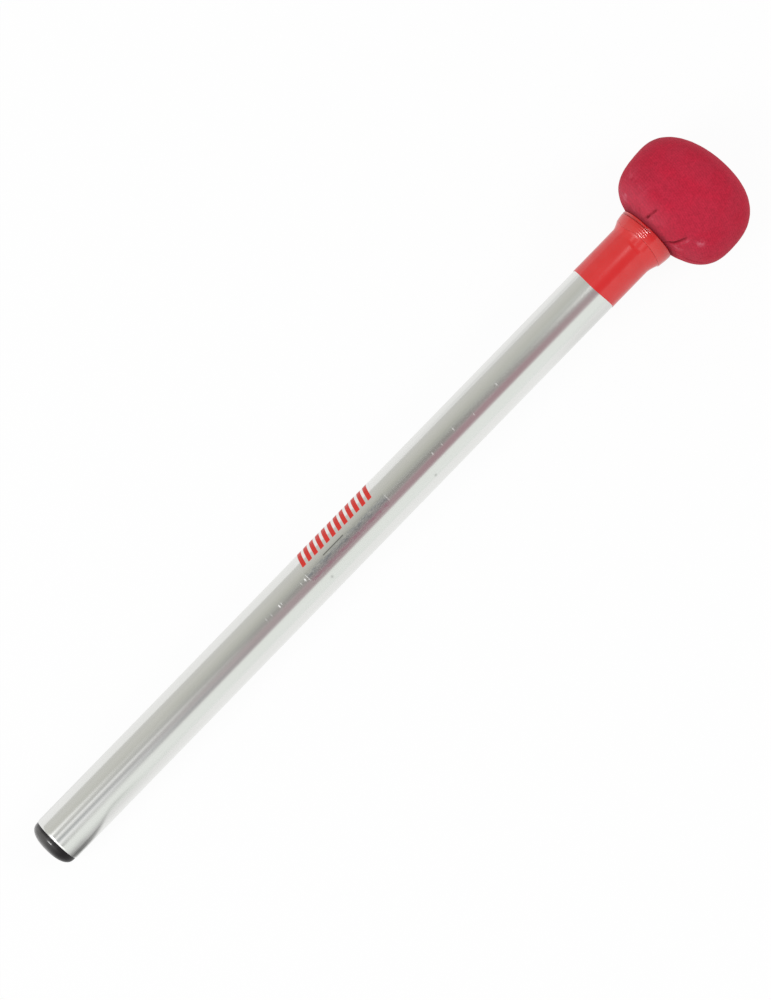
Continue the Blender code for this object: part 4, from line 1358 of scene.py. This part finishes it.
# %% [markdown]
# The nap of the cloth is rubbed pale in a few places, and shade is painted dark into the creases
# and round the neck. Both are written on the mesh as a number at every point, which the finish then reads.

# %% Rubbed places and painted crease shade as numbers on the cloth
# Each rubbed place has its x over the head's middle, its angle, its radius, its size and its weight.
RUBBED = (
    (-19.2, 67.0, 19.6, 2.8, 1.0),
    (-19.9, -46.0, 17.8, 2.0, 0.8),
    (-17.5, -38.0, 23.5, 2.6, 0.6),
    (-13.6, -41.5, 26.1, 1.8, 0.8),
    (-16.5, -67.8, 23.9, 2.0, 0.35),
    (-19.7, 8.8, 18.2, 2.0, 0.35),
    (-16.5, 38.0, 24.0, 4.0, 0.30),
    (-14.0, 62.0, 26.0, 4.5, 0.30),
)
NECK_SHADE = 1.5 * MM
CREASE_SHADE = 1.7


def number_each_point(mesh, name, numbers):
    """Stores one number at every point of a mesh, for a finish to read by name."""
    layer = mesh.attributes.new(name, "FLOAT", "POINT")
    layer.data.foreach_set("value", np.asarray(numbers, dtype=np.float32))


rubbed = np.zeros(len(plain_points))
for x, degrees, radius, size, weight in RUBBED:
    away = np.linalg.norm(plain_points - on_head(x, degrees, radius), axis=1)
    rubbed = np.maximum(rubbed, weight * bell(away / (size * MM)))
number_each_point(cover, "rubbed", rubbed)
# Painted shade under the head, near the neck.
neck_shade = np.clip((HEAD_BASE + NECK_SHADE - plain_points[:, 0]) / NECK_SHADE, 0, 0.85)
folded = np.maximum(np.clip(crease_marks(plain_points)[1] * CREASE_SHADE, 0, 1), neck_shade)
number_each_point(cover, "folded", folded)
print(f"{len(RUBBED)} rubbed places")

# %% Finish of the cloth
RIB_SPACING = 1.0 * MM
RIB_SLANT = 0.22
WANDER_SPACING = 7.0 * MM
NAP_SPACING = 0.95 * MM
MOTTLE_SPACING = 2.4 * MM
DRIFT_SPACING = 11 * MM
PALER_NECK_REACH = (HEAD_MIDDLE - 12 * MM, HEAD_MIDDLE - 19.5 * MM)
PALER_NECK_SIDE = (-12 * MM, 12 * MM)
CRIMSON_REDDER = (0.455, 0.0125, 0.038)
CRIMSON_PINKER = (0.445, 0.0165, 0.043)
PALE_NAP = (0.56, 0.13, 0.18)
FOLD_SHADOW = (0.14, 0.004, 0.010)

cloth = Finish("napped_crimson", Roughness=0.95, Specular_IOR_Level=0.15)
cloth.set(Sheen_Weight=0.08, Sheen_Roughness=0.35, Sheen_Tint=(1.0, 0.55, 0.62))
cloth_place = cloth.place()
cloth_x, cloth_y, _ = cloth.parts(cloth_place)
wander = cloth.grain(cloth_place, WANDER_SPACING, detail=2.0)
rib_phase = (cloth_x - cloth_y * RIB_SLANT) * (math.tau / RIB_SPACING) + wander * 6.0
ribs = cloth.math("SINE", rib_phase) * 0.5 + 0.5
nap = cloth.grain(cloth_place, NAP_SPACING, detail=3.0, roughness=0.7)
mottle = cloth.grain(cloth_place, MOTTLE_SPACING, detail=4.0, roughness=0.65)
drift = cloth.grain(cloth_place, DRIFT_SPACING, detail=2.0)
rubbed_share = cloth.written("rubbed")
painted_fold_shade_share = cloth.written("folded")
cloth_colour = cloth.blend(cloth.between(drift, 0.38, 0.62), CRIMSON_REDDER, CRIMSON_PINKER)
cloth_colour = cloth.blend(cloth.between(mottle, 0.3, 0.75), cloth_colour * 0.93, cloth_colour * 1.07)
cloth_colour = cloth_colour * (0.84 + ribs * 0.09 + cloth.between(nap, 0.3, 0.7) * 0.23)
# The cloth is made paler towards one side near the neck.
paler_neck_side = cloth.between(cloth_x, *PALER_NECK_REACH) * (0.4 + drift * 1.2)
paler_neck_side = paler_neck_side * (0.08 + cloth.between(cloth_y, *PALER_NECK_SIDE) * 0.16)
# The rubbed places and the paler side near the neck share one pale colour.
pale_nap = cloth.math("MAXIMUM", rubbed_share * cloth.between(mottle, 0.30, 0.62), paler_neck_side)
cloth_colour = cloth.blend(pale_nap, cloth_colour, PALE_NAP)
# Painted shade in the creases and at the neck.
cloth_colour = cloth.blend(painted_fold_shade_share * 0.7, cloth_colour, FOLD_SHADOW)
cloth.set(Base_Color=cloth_colour)
cloth.set(Normal=cloth.raised(ribs * 0.3 + nap * 0.9 + mottle * 0.5, 0.10 * MM))
print("cloth woven")

# %% [markdown]
# The cover is one layer of cloth so far. A second skin a little inside it and a rim that
# joins the two at the tail give it thickness, so that it is a closed body like every other piece.

# %% Close the cover with an inner layer
CLOTH_THICKNESS = 0.35 * MM
LINING_RINGS = 140


def drawn_in(outline, depth):
    """An outline moved inwards by one depth everywhere, as the next layer lies."""
    line = np.array(outline)
    run = np.gradient(line, axis=0)
    run /= np.linalg.norm(run, axis=1, keepdims=True)
    inner = line + np.stack((run[:, 1], -run[:, 0]), axis=1) * depth
    inner[-1] = (line[-1, 0] - depth, 0.0)
    return [(x, max(radius, 0.0)) for x, radius in inner]


lining_outline = drawn_in(bag_outline(LINING_RINGS), CLOTH_THICKNESS)
lining = skin("lining", lining_outline, BAG_SEGMENTS * 4, closed=False)
move_points(lining, settled(points_of(lining), CLOTH_THICKNESS))
builder = bmesh.new()
builder.from_mesh(cover)
builder.from_mesh(lining)
open_rims = [edge for edge in builder.edges if edge.is_boundary]
bmesh.ops.bridge_loops(builder, edges=open_rims)
bmesh.ops.recalc_face_normals(builder, faces=builder.faces)
builder.to_mesh(cover)
builder.free()
cover.shade_smooth()
head = add_piece("head_cloth", cover, cloth, "crimson_cloth", "head_cover")

# %% [markdown]
# ## The foam under the cloth
#
# The soft foam follows the cloth outside and the firm felt roll inside. It leans with the cover,
# so it is squeezed thin on one side and thick on the other. Nobody sees it, but a cut model would.

# %% The foam
FOAM_CLEARANCE = 0.1 * MM
FOAM_MOUTH = 14.0 * MM
FOAM_SEGMENTS = 288
FELT_CLEARANCE = 0.05 * MM
FELT_END_GAP = 0.3 * MM
CELL_SPACING = 0.5 * MM

sponge = Finish("soft_foam", Roughness=0.95)
cell_values = {"Vector": sponge.place(), "Scale": 1.0 / CELL_SPACING}
cells = sponge.node("ShaderNodeTexVoronoi", {}, cell_values)
sponge.set(Base_Color=sponge.blend(cells, (0.66, 0.60, 0.44), (0.80, 0.74, 0.57)))
sponge.set(Normal=sponge.raised(cells, 0.12 * MM))


def felt_corner(node, end):
    """The outer corner of a felt piece at its start or its end, just clear of the felt."""
    start, finish, radius, _ = span(node)
    return (start, finish)[end], radius + FELT_CLEARANCE


foam_inset = CLOTH_THICKNESS + FOAM_CLEARANCE
outer_line = [(x, radius) for x, radius in drawn_in(bag_outline(LINING_RINGS), foam_inset) if x > HEAD_BASE]
outer_line = [(x, radius) for x, radius in outer_line if radius > FOAM_MOUTH or x > HEAD_MIDDLE]
crown_x, crown_radius = felt_corner("crown_felt_outer", 1)
base_x, base_radius = felt_corner("base_felt", 0)
inner_line = [(crown_x + FELT_END_GAP, 0.0), (crown_x + FELT_END_GAP, crown_radius)]
inner_line += [felt_corner("crown_felt_inner", 1), felt_corner("felt_wrap", 1), felt_corner("felt_wrap", 0)]
inner_line += [(base_x - FELT_END_GAP, base_radius + FELT_END_GAP), (base_x - FELT_END_GAP, FOAM_MOUTH)]
padding = skin("padding", outer_line[::-1] + inner_line[::-1], FOAM_SEGMENTS, closed=False)
padding_points = points_of(padding)
padding_reach = np.hypot(padding_points[:, 1], padding_points[:, 2])
outer_reach = np.interp(padding_points[:, 0], *np.array(sorted(outer_line)).T)
on_outside = (padding_reach > outer_reach - 0.02 * MM) | (padding_points[:, 0] > crown_x + 2 * FELT_END_GAP)
padding_points[on_outside] = settled(padding_points[on_outside], foam_inset)
move_points(padding, padding_points)
padding_piece = add_piece("head_padding", padding, sponge, "cream_foam", "foam_jacket")

# %% [markdown]
# ## What the head hides
#
# Nothing of the core, felt, screw, pins and twine shows, but each still gets the finish that it
# would have on the bench: turned beech, zinc plated steel, pressed felt and twisted cotton.

# %% Finishes of the hidden pieces


def beech():
    """Turned beech, with rings along it and fine flecks."""
    wood = Finish("turned_beech", Roughness=0.6)
    rings = wood.grain(wood.place() * (0.12, 1.0, 1.0), 1.4 * MM, detail=4.0, distortion=0.6)
    flecks = wood.grain(wood.place() * (0.2, 1.0, 1.0), 0.3 * MM, detail=2.0)
    wood.set(Base_Color=wood.blend(rings, (0.46, 0.27, 0.13), (0.64, 0.43, 0.24)))
    wood.set(Roughness=0.5 + flecks * 0.2, Normal=wood.raised(flecks, 0.03 * MM))
    return wood


def zinc():
    """Zinc plate, faintly spangled."""
    steel = Finish("zinc_steel", Metallic=1.0)
    spangle = steel.grain(steel.place(), 0.8 * MM, detail=3.0)
    steel.set(Base_Color=steel.blend(spangle, (0.56, 0.56, 0.55), (0.68, 0.68, 0.66)))
    steel.set(Roughness=0.28 + spangle * 0.18, Normal=steel.raised(spangle, 0.01 * MM))
    return steel


def felt():
    """Dense felt of tangled fibres."""
    wool = Finish("pressed_felt", Roughness=0.95, Sheen_Weight=0.2)
    fibres = wool.grain(wool.place(), 0.25 * MM, detail=5.0, roughness=0.7, distortion=1.5)
    wool.set(Base_Color=wool.blend(fibres, (0.22, 0.215, 0.21), (0.38, 0.37, 0.36)))
    wool.set(Normal=wool.raised(fibres, 0.15 * MM))
    return wool


def cotton():
    """Natural twisted cotton."""
    yarn = Finish("twisted_cotton", Roughness=0.9, Sheen_Weight=0.2)
    twist = yarn.grain(yarn.place(), 0.18 * MM, detail=3.0, distortion=1.0)
    yarn.set(Base_Color=yarn.blend(twist, (0.62, 0.56, 0.42), (0.80, 0.74, 0.60)))
    yarn.set(Normal=yarn.raised(twist, 0.05 * MM))
    return yarn


HIDDEN = {
    beech: ("head_dowel", "head_core"),
    zinc: ("dowel_pin_lower", "dowel_pin_upper", "core_washer", "core_screw"),
    felt: ("felt_wrap", "base_felt", "crown_felt_inner", "crown_felt_outer"),
    cotton: ("binding_twine",),
}
for make, nodes in HIDDEN.items():
    made = make()
    for node in nodes:
        held = frame["nodes"][node].data.materials
        held.clear()
        held.append(made.material)
    print(f"{made.material.name}: {', '.join(nodes)}")
